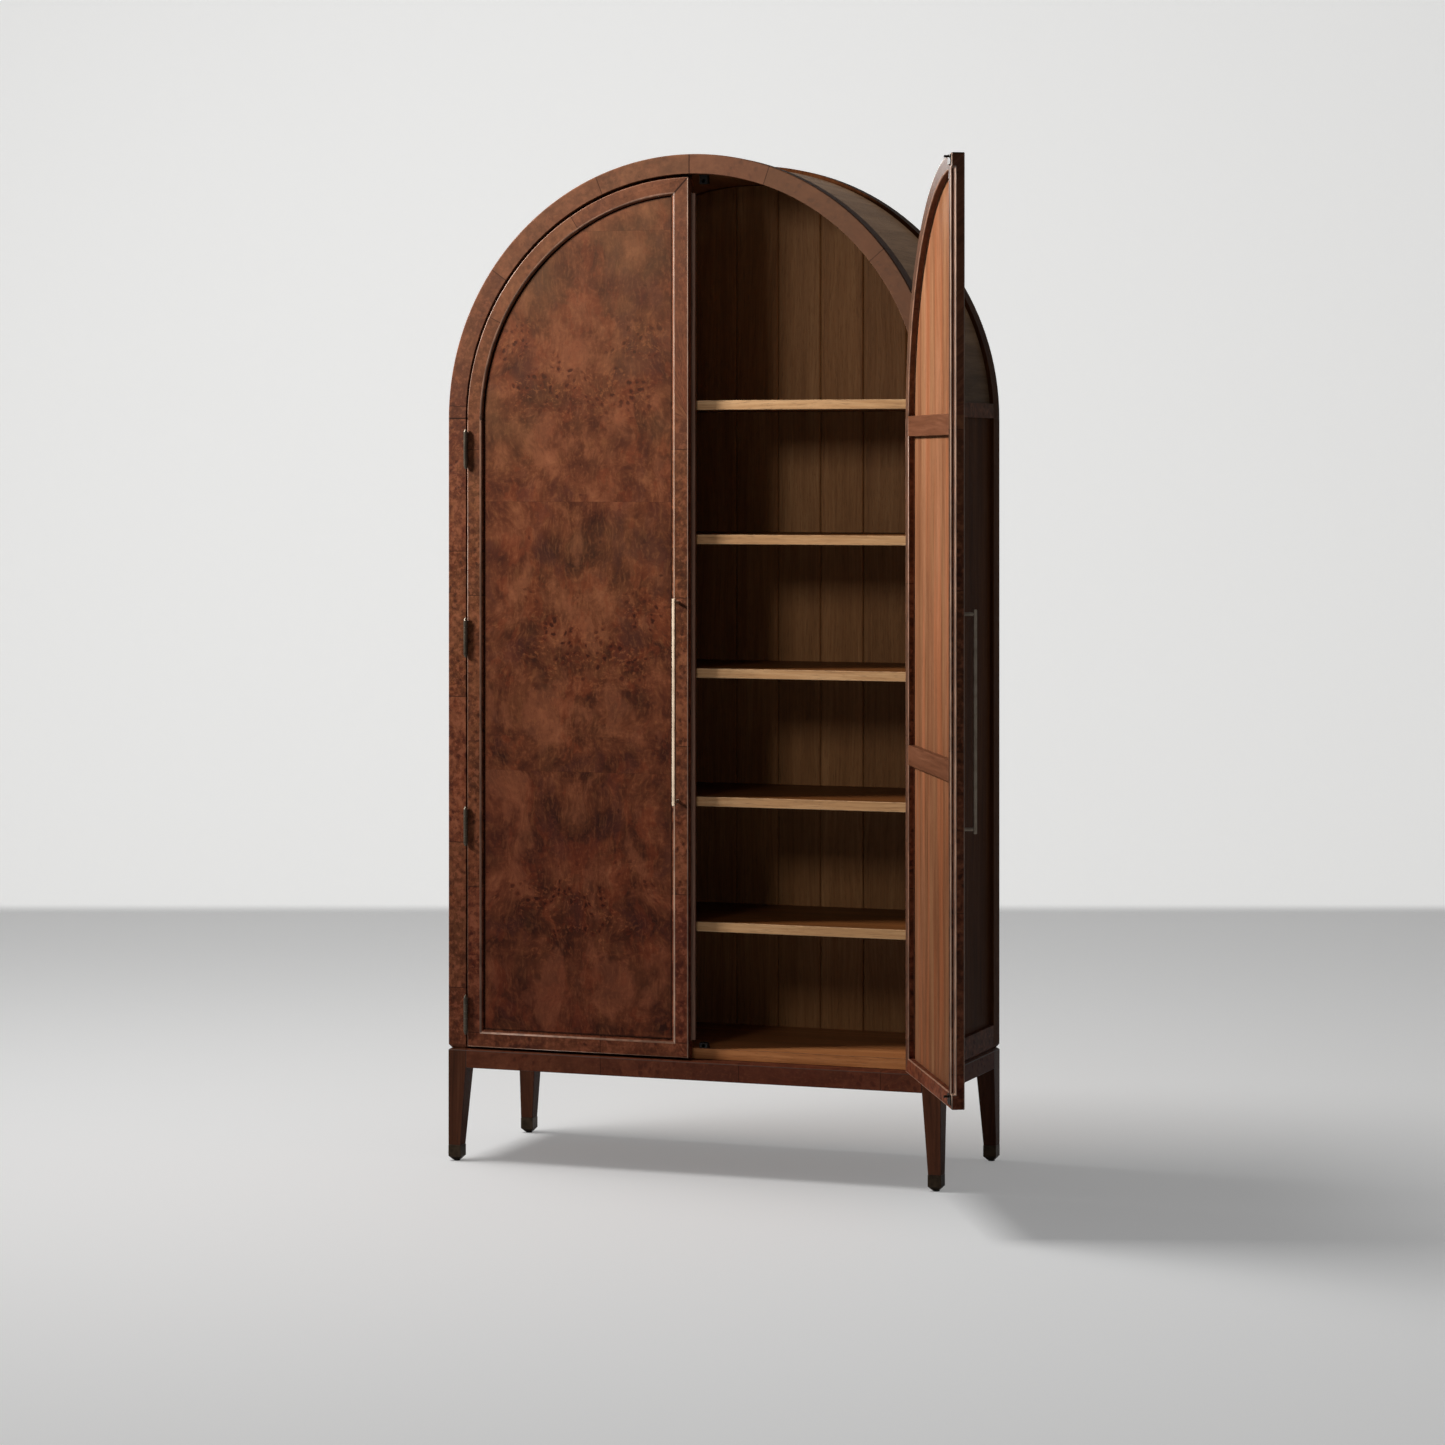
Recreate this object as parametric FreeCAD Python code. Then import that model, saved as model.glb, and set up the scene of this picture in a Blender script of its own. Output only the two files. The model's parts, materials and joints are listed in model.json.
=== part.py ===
import FreeCAD, Part
import math
import os

from FreeCAD import Vector

# Tall arched cabinet on four tapered legs, with two inset doors.
# Millimetres, +Z up, X across the front, the front faces -Y.
# The origin is on the floor, under the middle of the case.
# The left door is closed and the right door stands open.

# Whole cabinet
cabinet_height = 2134.0
case_width = 1100.0
case_depth = 420.0
frame_face_width = 41.0
frame_depth = 45.0
frame_arris = 2.0

# Stand
stand_height = 241.5
apron_height = 41.0
apron_thickness = 32.0
leg_foot_width = 28.0
foot_cap_height = 34.0
foot_cap_proud = 0.6
foot_cap_chamfer_height = 8.0
foot_tenon_width = 16.0
foot_tenon_length = 15.0
foot_tenon_clearance = 0.1
glide_diameter = 14.0
glide_height = 2.5
glide_stud_diameter = 4.0
glide_stud_length = 6.0
glide_stud_clearance = 0.05
corner_block_width = 36.0
corner_block_depth = 44.0
corner_block_height = 36.0
stand_screw_diameter = 5.0
stand_screw_head_diameter = 9.0
stand_screw_head_height = 3.0
stand_screw_bite = 17.0
screw_clearance = 0.05

# Shadow groove between the case and the stand
case_groove_depth = 6.0
case_groove_height = 8.0
stand_groove_depth = 5.0
stand_groove_height = 4.0

# Sides and top
side_rail_height = 52.0
spring_rail_height = 31.0
panel_recess = 8.0
skin_thickness = 6.0
side_lining_thickness = 12.0
arch_lining_thickness = 6.0

# Deck and back
deck_thickness = 23.0
deck_setback = 29.0
back_rebate_width = 12.0
back_rebate_depth = 16.0
plank_thickness = 14.0
plank_width = 97.4
plank_joint_x = 53.0
plank_gap = 1.0
plank_edge_chamfer = 2.5
tongue_length = 5.0
tongue_thickness = 5.0
tongue_clearance = 0.3
plank_edge_clearance = 0.5

# Shelves
shelf_thickness = 20.0
shelf_setback = 30.0
shelf_end_clearance = 2.5
shelf_back_clearance = 1.0
lower_shelf_height_shares = (0.1925, 0.3911, 0.5946, 0.8068)
top_shelf_rise = 26.0
support_setback = 60.0
support_pin_diameter = 6.0
support_pin_length = 10.0
support_pin_clearance = 0.05
support_plate_width = 12.0
support_plate_thickness = 4.0
support_plate_reach = 8.5
support_wall_gap = 0.5

# Doors
door_thickness = 26.0
door_side_gap = 3.0
door_meeting_gap = 5.0
door_bottom_gap = 4.5
door_arch_drop = 4.0
door_face_width = 31.0
door_moulding_width = 7.5
door_panel_recess = 5.0
door_panel_thickness = 7.0
door_panel_tongue = 6.0
door_panel_clearance = 0.1
door_arris = 1.2
cross_rail_height = 41.0
door_open_angle = 118.0

# Meeting edge of the doors
lip_reach = 8.5
lip_seat_width = 11.5
lip_thickness = 7.0
lip_bottom_inset = 36.0
lip_top_inset = 32.5
lip_seat_clearance = 0.1
door_rebate_width = 10.0
door_rebate_depth = 7.8
door_rebate_bottom_inset = 29.0
door_rebate_top_inset = 28.0

# Hinges
hinge_count = 4
hinge_bottom_inset = 68.0
hinge_top_inset = 61.5
hinge_length = 72.0
knuckle_count = 5
knuckle_gap = 0.3
knuckle_radius = 4.5
knuckle_standoff = 0.5
hinge_pin_radius = 2.5
hinge_pin_clearance = 0.05
finial_length = 6.0
finial_base_radius = 4.2
finial_tip_radius = 1.8
leaf_thickness = 1.2
leaf_depth = 24.0
leaf_screw_spacing = 24.0
leaf_screw_stagger = 3.0
leaf_screw_head_radius = 2.9
leaf_screw_radius = 1.6
leaf_screw_length = 16.0

# Pulls
pull_length = 433.0
pull_height = 990.0
pull_bar_width = 7.0
pull_bar_depth = 7.0
pull_projection = 28.0
pull_edge_chamfer = 1.0
pull_inset = 22.0
post_diameter = 7.0
post_end_inset = 9.0
post_stud_diameter = 4.0
post_stud_length = 12.0
post_stud_clearance = 0.05

# Catches and strikes
strike_width = 30.0
strike_height = 20.0
strike_thickness = 2.0
strike_edge_inset = 2.5
strike_bottom_inset = 8.0
strike_top_inset = 2.5
strike_stud_diameter = 5.0
strike_stud_length = 10.0
strike_stud_inset = 4.5
catch_width = 18.0
catch_depth = 14.0
catch_front_gap = 3.0
catch_wall = 2.0
catch_bore_diameter = 8.0
catch_bore_depth = 12.5
catch_arch_clearance = 0.05

# One overrun serves all cuts
overrun = 5.0

# Places that follow from the sizes above
front_y = -case_depth / 2
back_y = case_depth / 2
half_width = case_width / 2
spring_z = cabinet_height - half_width
case_z = stand_height
opening_radius = half_width - frame_face_width
rib_front_y = front_y + frame_depth
rib_back_y = back_y - frame_depth
side_rail_top = case_z + side_rail_height
spring_rail_top = spring_z + spring_rail_height
skin_outer_radius = half_width - panel_recess
skin_inner_radius = skin_outer_radius - skin_thickness
lining_outer_radius = opening_radius + side_lining_thickness
arch_lining_outer_radius = opening_radius + arch_lining_thickness
back_front_y = back_y - back_rebate_depth
back_rebate_radius = opening_radius + back_rebate_width
back_radius = back_rebate_radius - plank_edge_clearance
deck_front_y = front_y + deck_setback
deck_top = case_z + deck_thickness
shelf_back_y = back_front_y - shelf_back_clearance
shelf_front_y = front_y + shelf_setback
shelf_centres = [deck_top + share * (spring_z - deck_top) for share in lower_shelf_height_shares]
shelf_centres.append(spring_z + top_shelf_rise)
apron_bottom = stand_height - apron_height
leg_width = frame_face_width

# Door places, given for the left door when closed
door_radius = opening_radius - door_side_gap
door_spring_z = spring_z - door_arch_drop
door_bottom = case_z + door_bottom_gap
door_meeting_x = -door_meeting_gap / 2
door_inner_y = front_y + door_thickness
door_panel_front_y = front_y + door_panel_recess
door_panel_back_y = door_panel_front_y + door_panel_thickness
door_frame_width = door_face_width + door_moulding_width
door_top_z = door_spring_z + math.sqrt(door_radius ** 2 - door_meeting_x ** 2)
hinge_x = -(opening_radius - door_side_gap / 2)
hinge_y = front_y - knuckle_radius - knuckle_standoff
hinge_lowest = door_bottom + hinge_bottom_inset
hinge_pitch = (door_spring_z - hinge_top_inset - hinge_lowest) / (hinge_count - 1)
hinge_heights = [hinge_lowest + hinge_pitch * i for i in range(hinge_count)]
pull_x = door_meeting_x - pull_inset
post_reach = pull_length / 2 - post_end_inset
post_heights = (pull_height - post_reach, pull_height + post_reach)
strike_low_z = door_bottom + strike_bottom_inset
strike_high_z = door_top_z - strike_top_inset - strike_height
strike_outer_x = door_meeting_x - strike_edge_inset
catch_centre_x = strike_outer_x - strike_width / 2
strike_studs_z = [z + strike_height - strike_stud_inset for z in (strike_low_z, strike_high_z)]


# Shape helpers

up = Vector(0, 0, 1)
inward = Vector(0, 1, 0)


def box(x0, x1, y0, y1, z0, z1):
    return Part.makeBox(x1 - x0, y1 - y0, z1 - z0, Vector(x0, y0, z0))


def rod(radius, start, direction, length):
    return Part.makeCylinder(radius, length, start, direction)


def along_x(points, x0, x1):
    """A straight bar along X whose section is given in Y and Z."""
    corners = [Vector(x0, y, z) for y, z in points]
    face = Part.Face(Part.makePolygon(corners + corners[:1]))
    return face.extrude(Vector(x1 - x0, 0, 0))


def along_y(points, y0, y1):
    """A straight bar along Y whose section is given in X and Z."""
    corners = [Vector(x, y0, z) for x, z in points]
    face = Part.Face(Part.makePolygon(corners + corners[:1]))
    return face.extrude(Vector(0, y1 - y0, 0))


def along_z(points, z0, z1):
    """A straight bar along Z whose section is given in X and Y."""
    corners = [Vector(x, y, z0) for x, y in points]
    face = Part.Face(Part.makePolygon(corners + corners[:1]))
    return face.extrude(Vector(0, 0, z1 - z0))


def polar(radius, centre_z, y, angle):
    return Vector(radius * math.cos(angle), y, centre_z + radius * math.sin(angle))


def arc(radius, centre_z, y, start, end):
    middle = (start + end) / 2
    points = [polar(radius, centre_z, y, angle) for angle in (start, middle, end)]
    return Part.Arc(*points).toShape()


def ring(outer, inner, centre_z, y0, y1, start, end):
    """A piece of a round arch, from one angle to another."""
    edges = [
        arc(outer, centre_z, y0, start, end),
        Part.makeLine(polar(outer, centre_z, y0, end), polar(inner, centre_z, y0, end)),
        arc(inner, centre_z, y0, end, start),
        Part.makeLine(polar(inner, centre_z, y0, start), polar(outer, centre_z, y0, start)),
    ]
    return Part.Face(Part.Wire(edges)).extrude(Vector(0, y1 - y0, 0))


def arch_outline(radius, low_z, centre_z, y):
    """Upright sides and a half-round top."""
    edges = [
        Part.makeLine(Vector(-radius, y, low_z), Vector(radius, y, low_z)),
        Part.makeLine(Vector(radius, y, low_z), Vector(radius, y, centre_z)),
        arc(radius, centre_z, y, 0, math.pi),
        Part.makeLine(Vector(-radius, y, centre_z), Vector(-radius, y, low_z)),
    ]
    return Part.Wire(edges)


def arch_slab(radius, low_z, centre_z, y0, y1):
    return Part.Face(arch_outline(radius, low_z, centre_z, y0)).extrude(Vector(0, y1 - y0, 0))


def door_outline(inset, y):
    """Outline of the left door, drawn in by an inset on every side."""
    radius = door_radius - inset
    meeting_x = door_meeting_x - inset
    low_z = door_bottom + inset
    angle = math.acos(meeting_x / radius)
    top = polar(radius, door_spring_z, y, angle)
    edges = [
        Part.makeLine(Vector(-radius, y, low_z), Vector(meeting_x, y, low_z)),
        Part.makeLine(Vector(meeting_x, y, low_z), top),
        arc(radius, door_spring_z, y, angle, math.pi),
        Part.makeLine(Vector(-radius, y, door_spring_z), Vector(-radius, y, low_z)),
    ]
    return Part.Wire(edges)


def door_slab(inset, y0, y1):
    return Part.Face(door_outline(inset, y0)).extrude(Vector(0, y1 - y0, 0))


def mirrored(shape):
    return shape.mirror(Vector(0, 0, 0), Vector(1, 0, 0))


def opened(shape):
    """A piece of the left door, carried over to the right door where that stands open."""
    turned = mirrored(shape)
    turned.rotate(Vector(-hinge_x, hinge_y, 0), up, door_open_angle)
    return turned


def pair(shape):
    return Part.makeCompound([shape, mirrored(shape)])


def four(shape):
    """A piece at each corner of the stand."""
    rear = shape.mirror(Vector(0, 0, 0), Vector(0, 1, 0))
    return Part.makeCompound([shape, mirrored(shape), rear, mirrored(rear)])


def cut_all(shape, cutters):
    for cutter in cutters:
        shape = shape.cut(cutter)
    return shape


nodes = {}


def keep(name, shape):
    nodes[name] = shape


# Shadow groove: bevels round the foot of the case and round the top of the stand

def groove_cutters(depth, height):
    """Wedges along the four sides. A negative height bevels the edge below the joint."""
    x_in = half_width - depth
    x_out = half_width + overrun
    y_in = case_depth / 2 - depth
    y_out = case_depth / 2 + overrun
    z_in = case_z - height * overrun / depth
    z_out = case_z + height * (depth + overrun) / depth
    side = along_y([(x_in, case_z), (x_in, z_in), (x_out, z_in), (x_out, z_out)], -y_out, y_out)
    rear = along_x([(y_in, case_z), (y_in, z_in), (y_out, z_in), (y_out, z_out)], -x_out, x_out)
    front = rear.mirror(Vector(0, 0, 0), Vector(0, 1, 0))
    return [side, mirrored(side), rear, front]


case_groove = groove_cutters(case_groove_depth, case_groove_height)
stand_groove = groove_cutters(stand_groove_depth, -stand_groove_height)


# Hinges, built at the left door when closed

def knuckle_spans(height):
    """Bottom and top of each knuckle, from the lowest up."""
    length = (hinge_length - knuckle_gap * (knuckle_count - 1)) / knuckle_count
    lows = [height - hinge_length / 2 + i * (length + knuckle_gap) for i in range(knuckle_count)]
    return [(low, low + length) for low in lows]


def leaf_screw_places(height):
    """Depth and height of the three screws in a leaf."""
    middle_y = front_y + leaf_depth / 2
    outer_y = middle_y + leaf_screw_stagger
    return [(outer_y, height - leaf_screw_spacing),
            (middle_y - leaf_screw_stagger, height),
            (outer_y, height + leaf_screw_spacing)]


def hinge_leaf(x_wood, x_face, height, first_knuckle):
    """Flat leaf against the wood at x_wood, with every second knuckle."""
    low = height - hinge_length / 2
    x0, x1 = sorted((x_wood, x_face))
    shape = box(x0, x1, front_y, front_y + leaf_depth, low, low + hinge_length)
    for z0, z1 in knuckle_spans(height)[first_knuckle::2]:
        web = box(x0, x1, hinge_y + hinge_pin_radius, front_y + leaf_thickness, z0, z1)
        barrel = rod(knuckle_radius, Vector(hinge_x, hinge_y, z0), up, z1 - z0)
        shape = shape.fuse([web, barrel])
    bore_start = Vector(hinge_x, hinge_y, low - overrun)
    bore_length = hinge_length + overrun * 2
    shape = shape.cut(rod(hinge_pin_radius + hinge_pin_clearance, bore_start, up, bore_length))
    for y, z in leaf_screw_places(height):
        shape = shape.cut(leaf_screw(x_wood, x_face, y, z, screw_clearance, leaf_thickness))
    return shape.removeSplitter()


def leaf_screw(x_wood, x_face, y, z, clearance, length):
    """Countersunk screw whose head lies flush in the leaf."""
    direction = Vector(1, 0, 0) if x_wood > x_face else Vector(-1, 0, 0)
    start = Vector(x_face, y, z)
    head_radius = leaf_screw_head_radius + clearance
    radius = leaf_screw_radius + clearance
    head = Part.makeCone(head_radius, radius, leaf_thickness, start, direction)
    return head.fuse(rod(radius, start, direction, length))


def leaf_screws(x_wood, x_face, clearance):
    """All the screws of one leaf in each of the hinges."""
    length = leaf_screw_length + clearance
    return [leaf_screw(x_wood, x_face, y, z, clearance, length)
            for height in hinge_heights for y, z in leaf_screw_places(height)]


def hinge_pin(height):
    """Pin through the knuckles, with a tapered tip at each end."""
    length = hinge_length + knuckle_gap * 2
    bottom = Vector(hinge_x, hinge_y, height - length / 2)
    top = Vector(hinge_x, hinge_y, height + length / 2)
    finials = [Part.makeCone(finial_base_radius, finial_tip_radius, finial_length, top, up),
               Part.makeCone(finial_base_radius, finial_tip_radius, finial_length, bottom, -up)]
    return rod(hinge_pin_radius, bottom, up, length).fuse(finials).removeSplitter()


case_leaf_wood_x = -opening_radius
case_leaf_face_x = -opening_radius + leaf_thickness
door_leaf_wood_x = -door_radius
door_leaf_face_x = -door_radius - leaf_thickness

case_leaves = Part.makeCompound(
    [hinge_leaf(case_leaf_wood_x, case_leaf_face_x, height, 0) for height in hinge_heights])
door_leaves = Part.makeCompound(
    [hinge_leaf(door_leaf_wood_x, door_leaf_face_x, height, 1) for height in hinge_heights])
hinge_pins = Part.makeCompound([hinge_pin(height) for height in hinge_heights])
case_leaf_screws = Part.makeCompound(leaf_screws(case_leaf_wood_x, case_leaf_face_x, 0))
door_leaf_screws = Part.makeCompound(leaf_screws(door_leaf_wood_x, door_leaf_face_x, 0))
case_screw_holes = leaf_screws(case_leaf_wood_x, case_leaf_face_x, screw_clearance)
door_screw_holes = leaf_screws(door_leaf_wood_x, door_leaf_face_x, screw_clearance)

keep("case_hinge_leaves", pair(case_leaves))
keep("hinge_pins", pair(hinge_pins))
keep("case_hinge_screws", pair(case_leaf_screws))
keep("left_door_hinge_leaves", door_leaves)
keep("right_door_hinge_leaves", opened(door_leaves))
keep("left_door_hinge_screws", door_leaf_screws)
keep("right_door_hinge_screws", opened(door_leaf_screws))


# Face frame and rear frame of the case

def arch_frame(y_outer, y_arris, y_inner):
    """Whole frame with a small bevel on its outer edge, open in the middle."""
    wires = [arch_outline(half_width - frame_arris, case_z, spring_z, y_outer),
             arch_outline(half_width, case_z, spring_z, y_arris),
             arch_outline(half_width, case_z, spring_z, y_inner)]
    outer = Part.makeLoft(wires, True, True)
    low_y = min(y_outer, y_inner) - overrun
    high_y = max(y_outer, y_inner) + overrun
    opening = arch_slab(opening_radius, case_z - overrun, spring_z, low_y, high_y)
    return outer.cut(opening)


def left_stile_of(frame):
    region = box(-half_width - overrun, 0, front_y - overrun, back_y + overrun, 0, spring_z)
    return cut_all(frame.common(region), case_groove)


def left_arch_of(frame):
    top = cabinet_height + overrun
    return frame.common(box(-half_width - overrun, 0, front_y - overrun, back_y + overrun, spring_z, top))


face_frame = arch_frame(front_y, front_y + frame_arris, rib_front_y)
front_stile = cut_all(left_stile_of(face_frame), case_screw_holes)
front_arch = left_arch_of(face_frame)
keep("front_stile_left", front_stile)
keep("front_stile_right", mirrored(front_stile))
keep("front_arch_left", front_arch)
keep("front_arch_right", mirrored(front_arch))

rear_frame = arch_frame(back_y, back_y - frame_arris, rib_back_y)
rear_frame = rear_frame.cut(
    arch_slab(back_rebate_radius, case_z - overrun, spring_z, back_front_y, back_y + overrun))
rear_stile = left_stile_of(rear_frame)
keep("rear_stile_left", rear_stile)
keep("rear_stile_right", mirrored(rear_stile))
keep("rear_arch", pair(left_arch_of(rear_frame)))


# Sides: rails between the stiles, an outer panel and an inner lining

def support_places():
    """Depth and height of the supports under each shelf, on one side."""
    depths = (shelf_front_y + support_setback, shelf_back_y - support_setback)
    return [(y, centre - shelf_thickness / 2) for centre in shelf_centres for y in depths]


def support_pin(y, shelf_bottom, clearance):
    radius = support_pin_diameter / 2
    start = Vector(-opening_radius + support_wall_gap + support_plate_thickness, y, shelf_bottom - radius)
    length = support_pin_length + support_plate_thickness + clearance
    return rod(radius + clearance, start, Vector(-1, 0, 0), length)


support_holes = [support_pin(y, z, support_pin_clearance) for y, z in support_places()]

bottom_rail = box(-half_width, -opening_radius, rib_front_y, rib_back_y, case_z, side_rail_top)
bottom_rail = cut_all(bottom_rail, case_groove)
rail_region = box(-half_width - overrun, 0, front_y, back_y, spring_z, spring_rail_top)
spring_rail = ring(half_width, opening_radius, spring_z, rib_front_y, rib_back_y, math.pi / 2, math.pi)
spring_rail = cut_all(spring_rail.common(rail_region), support_holes)
side_rails = Part.makeCompound([bottom_rail, spring_rail])
keep("side_rails_left", side_rails)
keep("side_rails_right", mirrored(side_rails))

side_panel = box(-skin_outer_radius, -skin_inner_radius, rib_front_y, rib_back_y, side_rail_top, spring_z)
keep("side_panel_left", side_panel)
keep("side_panel_right", mirrored(side_panel))

side_lining = box(-lining_outer_radius, -opening_radius, rib_front_y, rib_back_y, side_rail_top, spring_z)
side_lining = cut_all(side_lining, support_holes)
keep("side_lining_left", side_lining)
keep("side_lining_right", mirrored(side_lining))


# Arch: a bent outer skin and a bent inner lining between the two rings

def bent_panel(outer, inner):
    panel = ring(outer, inner, spring_z, rib_front_y, rib_back_y, 0, math.pi)
    above_rails = box(-half_width, half_width, front_y, back_y, spring_rail_top, cabinet_height)
    return panel.common(above_rails)


keep("arch_skin", bent_panel(skin_outer_radius, skin_inner_radius))
keep("arch_lining", bent_panel(arch_lining_outer_radius, opening_radius))


# Stand: legs, foot caps, glides, aprons and corner blocks, built at the front left

leg_corner_x = -half_width
leg_corner_y = front_y
cap_width = leg_foot_width + foot_cap_proud
foot_centre_x = leg_corner_x + cap_width / 2
foot_centre_y = leg_corner_y + cap_width / 2
cap_chamfer_z = glide_height + foot_cap_chamfer_height


def corner_square(width, z):
    """Square drawn from the outer corner of the leg."""
    return square(leg_corner_x, leg_corner_y, width, z)


def square(x0, y0, width, z):
    x1 = x0 + width
    y1 = y0 + width
    corners = [Vector(x0, y0, z), Vector(x1, y0, z), Vector(x1, y1, z), Vector(x0, y1, z)]
    return Part.makePolygon(corners + corners[:1])


def foot_tenon(clearance):
    half = foot_tenon_width / 2 + clearance
    low = foot_cap_height - foot_tenon_length - clearance
    return box(foot_centre_x - half, foot_centre_x + half, foot_centre_y - half, foot_centre_y + half,
               low, foot_cap_height)


leg_head = Part.Face(corner_square(leg_width, apron_bottom)).extrude(Vector(0, 0, apron_height))
leg_ends = [corner_square(leg_foot_width, foot_cap_height), corner_square(leg_width, apron_bottom)]
taper = Part.makeLoft(leg_ends, True, True)
leg = cut_all(leg_head.fuse([taper, foot_tenon(0)]).removeSplitter(), stand_groove)
rear_leg = leg.mirror(Vector(0, 0, 0), Vector(0, 1, 0))
keep("leg_front_left", leg)
keep("leg_front_right", mirrored(leg))
keep("leg_rear_left", rear_leg)
keep("leg_rear_right", mirrored(rear_leg))

glide_x = foot_centre_x - glide_diameter / 2
glide_y = foot_centre_y - glide_diameter / 2
cap_body = Part.makeLoft([square(glide_x, glide_y, glide_diameter, glide_height),
                          corner_square(cap_width, cap_chamfer_z),
                          corner_square(cap_width, foot_cap_height)], True, True)
stud_start = Vector(foot_centre_x, foot_centre_y, glide_height)
stud_radius = glide_stud_diameter / 2
stud_hole = rod(stud_radius + glide_stud_clearance, stud_start, up, glide_stud_length + glide_stud_clearance)
foot_cap = cut_all(cap_body, [foot_tenon(foot_tenon_clearance), stud_hole])
keep("foot_caps", four(foot_cap))

glide = rod(glide_diameter / 2, Vector(foot_centre_x, foot_centre_y, 0), up, glide_height)
glide = glide.fuse(rod(stud_radius, stud_start, up, glide_stud_length))
keep("glides", four(glide))

apron_x = half_width - leg_width
apron_y = case_depth / 2 - leg_width
front_apron = box(-apron_x, apron_x, front_y, front_y + apron_thickness, apron_bottom, stand_height)
front_apron = cut_all(front_apron, stand_groove)
keep("apron_front", front_apron)
keep("apron_rear", front_apron.mirror(Vector(0, 0, 0), Vector(0, 1, 0)))
side_apron = box(-half_width, -half_width + apron_thickness, -apron_y, apron_y, apron_bottom, stand_height)
keep("side_aprons", pair(cut_all(side_apron, stand_groove)))

block_x = -apron_x
block_y = front_y + apron_thickness
block_bottom = stand_height - corner_block_height
screw_x = block_x + corner_block_width / 2
screw_y = block_y + corner_block_depth / 2


def stand_screw(clearance):
    head = rod(stand_screw_head_diameter / 2 + clearance, Vector(screw_x, screw_y, block_bottom), up,
               stand_screw_head_height + clearance)
    shank = rod(stand_screw_diameter / 2 + clearance, Vector(screw_x, screw_y, block_bottom), up,
                corner_block_height + stand_screw_bite + clearance)
    return head.fuse(shank)


corner_block = box(block_x, block_x + corner_block_width, block_y, block_y + corner_block_depth,
                   block_bottom, stand_height)
keep("corner_blocks", four(corner_block.cut(stand_screw(screw_clearance))))
keep("stand_screws", four(stand_screw(0)))


# Deck and back boards

deck = box(-opening_radius, opening_radius, deck_front_y, back_front_y, case_z, deck_top)
keep("deck", cut_all(deck, four(stand_screw(screw_clearance)).Solids))


def plank_section(x0, x1, has_groove, has_tongue):
    """Plan of one board, bevelled on its front edges, with its tongue on the right."""
    y0 = back_front_y
    y1 = back_front_y + plank_thickness
    tongue_y0 = (y0 + y1 - tongue_thickness) / 2
    tongue_y1 = tongue_y0 + tongue_thickness
    points = [(x0, y0 + plank_edge_chamfer), (x0 + plank_edge_chamfer, y0),
              (x1 - plank_edge_chamfer, y0), (x1, y0 + plank_edge_chamfer)]
    if has_tongue:
        reach = x1 + tongue_length
        points += [(x1, tongue_y0), (reach, tongue_y0), (reach, tongue_y1), (x1, tongue_y1)]
    points += [(x1, y1), (x0, y1)]
    if has_groove:
        groove_x = x0 + tongue_length - plank_gap + tongue_clearance
        low = tongue_y0 - tongue_clearance
        high = tongue_y1 + tongue_clearance
        points += [(x0, high), (groove_x, high), (groove_x, low), (x0, low)]
    return points


def back_boards():
    """Boards of one width, laid out from one joint and trimmed to the opening."""
    outline = arch_slab(back_radius, case_z, spring_z, back_front_y, back_front_y + plank_thickness)
    joints = []
    first = math.ceil((-back_radius - plank_joint_x) / plank_width)
    x = plank_joint_x + first * plank_width
    while x < back_radius:
        joints.append(x)
        x += plank_width
    lefts = [-back_radius] + [joint + plank_gap / 2 for joint in joints]
    rights = [joint - plank_gap / 2 for joint in joints] + [back_radius]
    boards = []
    for i, (x0, x1) in enumerate(zip(lefts, rights)):
        section = plank_section(x0, x1, i > 0, i < len(joints))
        boards.append(along_z(section, case_z, spring_z + back_radius).common(outline))
    return boards


keep("back_boards", Part.makeCompound(back_boards()))


# Shelves and their supports

def shelf(centre):
    reach = opening_radius - shelf_end_clearance
    half = shelf_thickness / 2
    return box(-reach, reach, shelf_front_y, shelf_back_y, centre - half, centre + half)


for number, centre in enumerate(shelf_centres, 1):
    keep("shelf_%d" % number, shelf(centre))


def shelf_support(y, shelf_bottom):
    wall_x = -opening_radius + support_wall_gap
    half = support_plate_width / 2
    plate = box(wall_x, wall_x + support_plate_reach, y - half, y + half,
                shelf_bottom - support_plate_thickness, shelf_bottom)
    return plate.fuse(support_pin(y, shelf_bottom, 0)).removeSplitter()


keep("shelf_supports", pair(Part.makeCompound([shelf_support(y, z) for y, z in support_places()])))


# Catches on the deck and under the arch

def catch(stud_z, low_z, high_z):
    """Block with a round socket that faces the door."""
    half = catch_width / 2
    y0 = front_y + door_thickness + strike_thickness + catch_front_gap
    body = box(catch_centre_x - half, catch_centre_x + half, y0, y0 + catch_depth, low_z, high_z)
    socket_start = Vector(catch_centre_x, y0, stud_z)
    return body.cut(rod(catch_bore_diameter / 2, socket_start, inward, catch_bore_depth))


low_stud_z, high_stud_z = strike_studs_z
catch_reach = catch_bore_diameter / 2 + catch_wall
low_catch = catch(low_stud_z, deck_top, low_stud_z + catch_reach)
arch_inside = rod(opening_radius - catch_arch_clearance, Vector(0, front_y, spring_z), inward, case_depth)
high_catch = catch(high_stud_z, high_stud_z - catch_reach, cabinet_height).common(arch_inside)
keep("catches", pair(Part.makeCompound([low_catch, high_catch])))


# Door frames, built as the left door when closed

def door_corner(width):
    """Where the two edges of the meeting stile's top corner meet, at a distance in from the edge."""
    x = door_meeting_x - width
    return x, door_spring_z + math.sqrt((door_radius - width) ** 2 - x ** 2)


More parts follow.
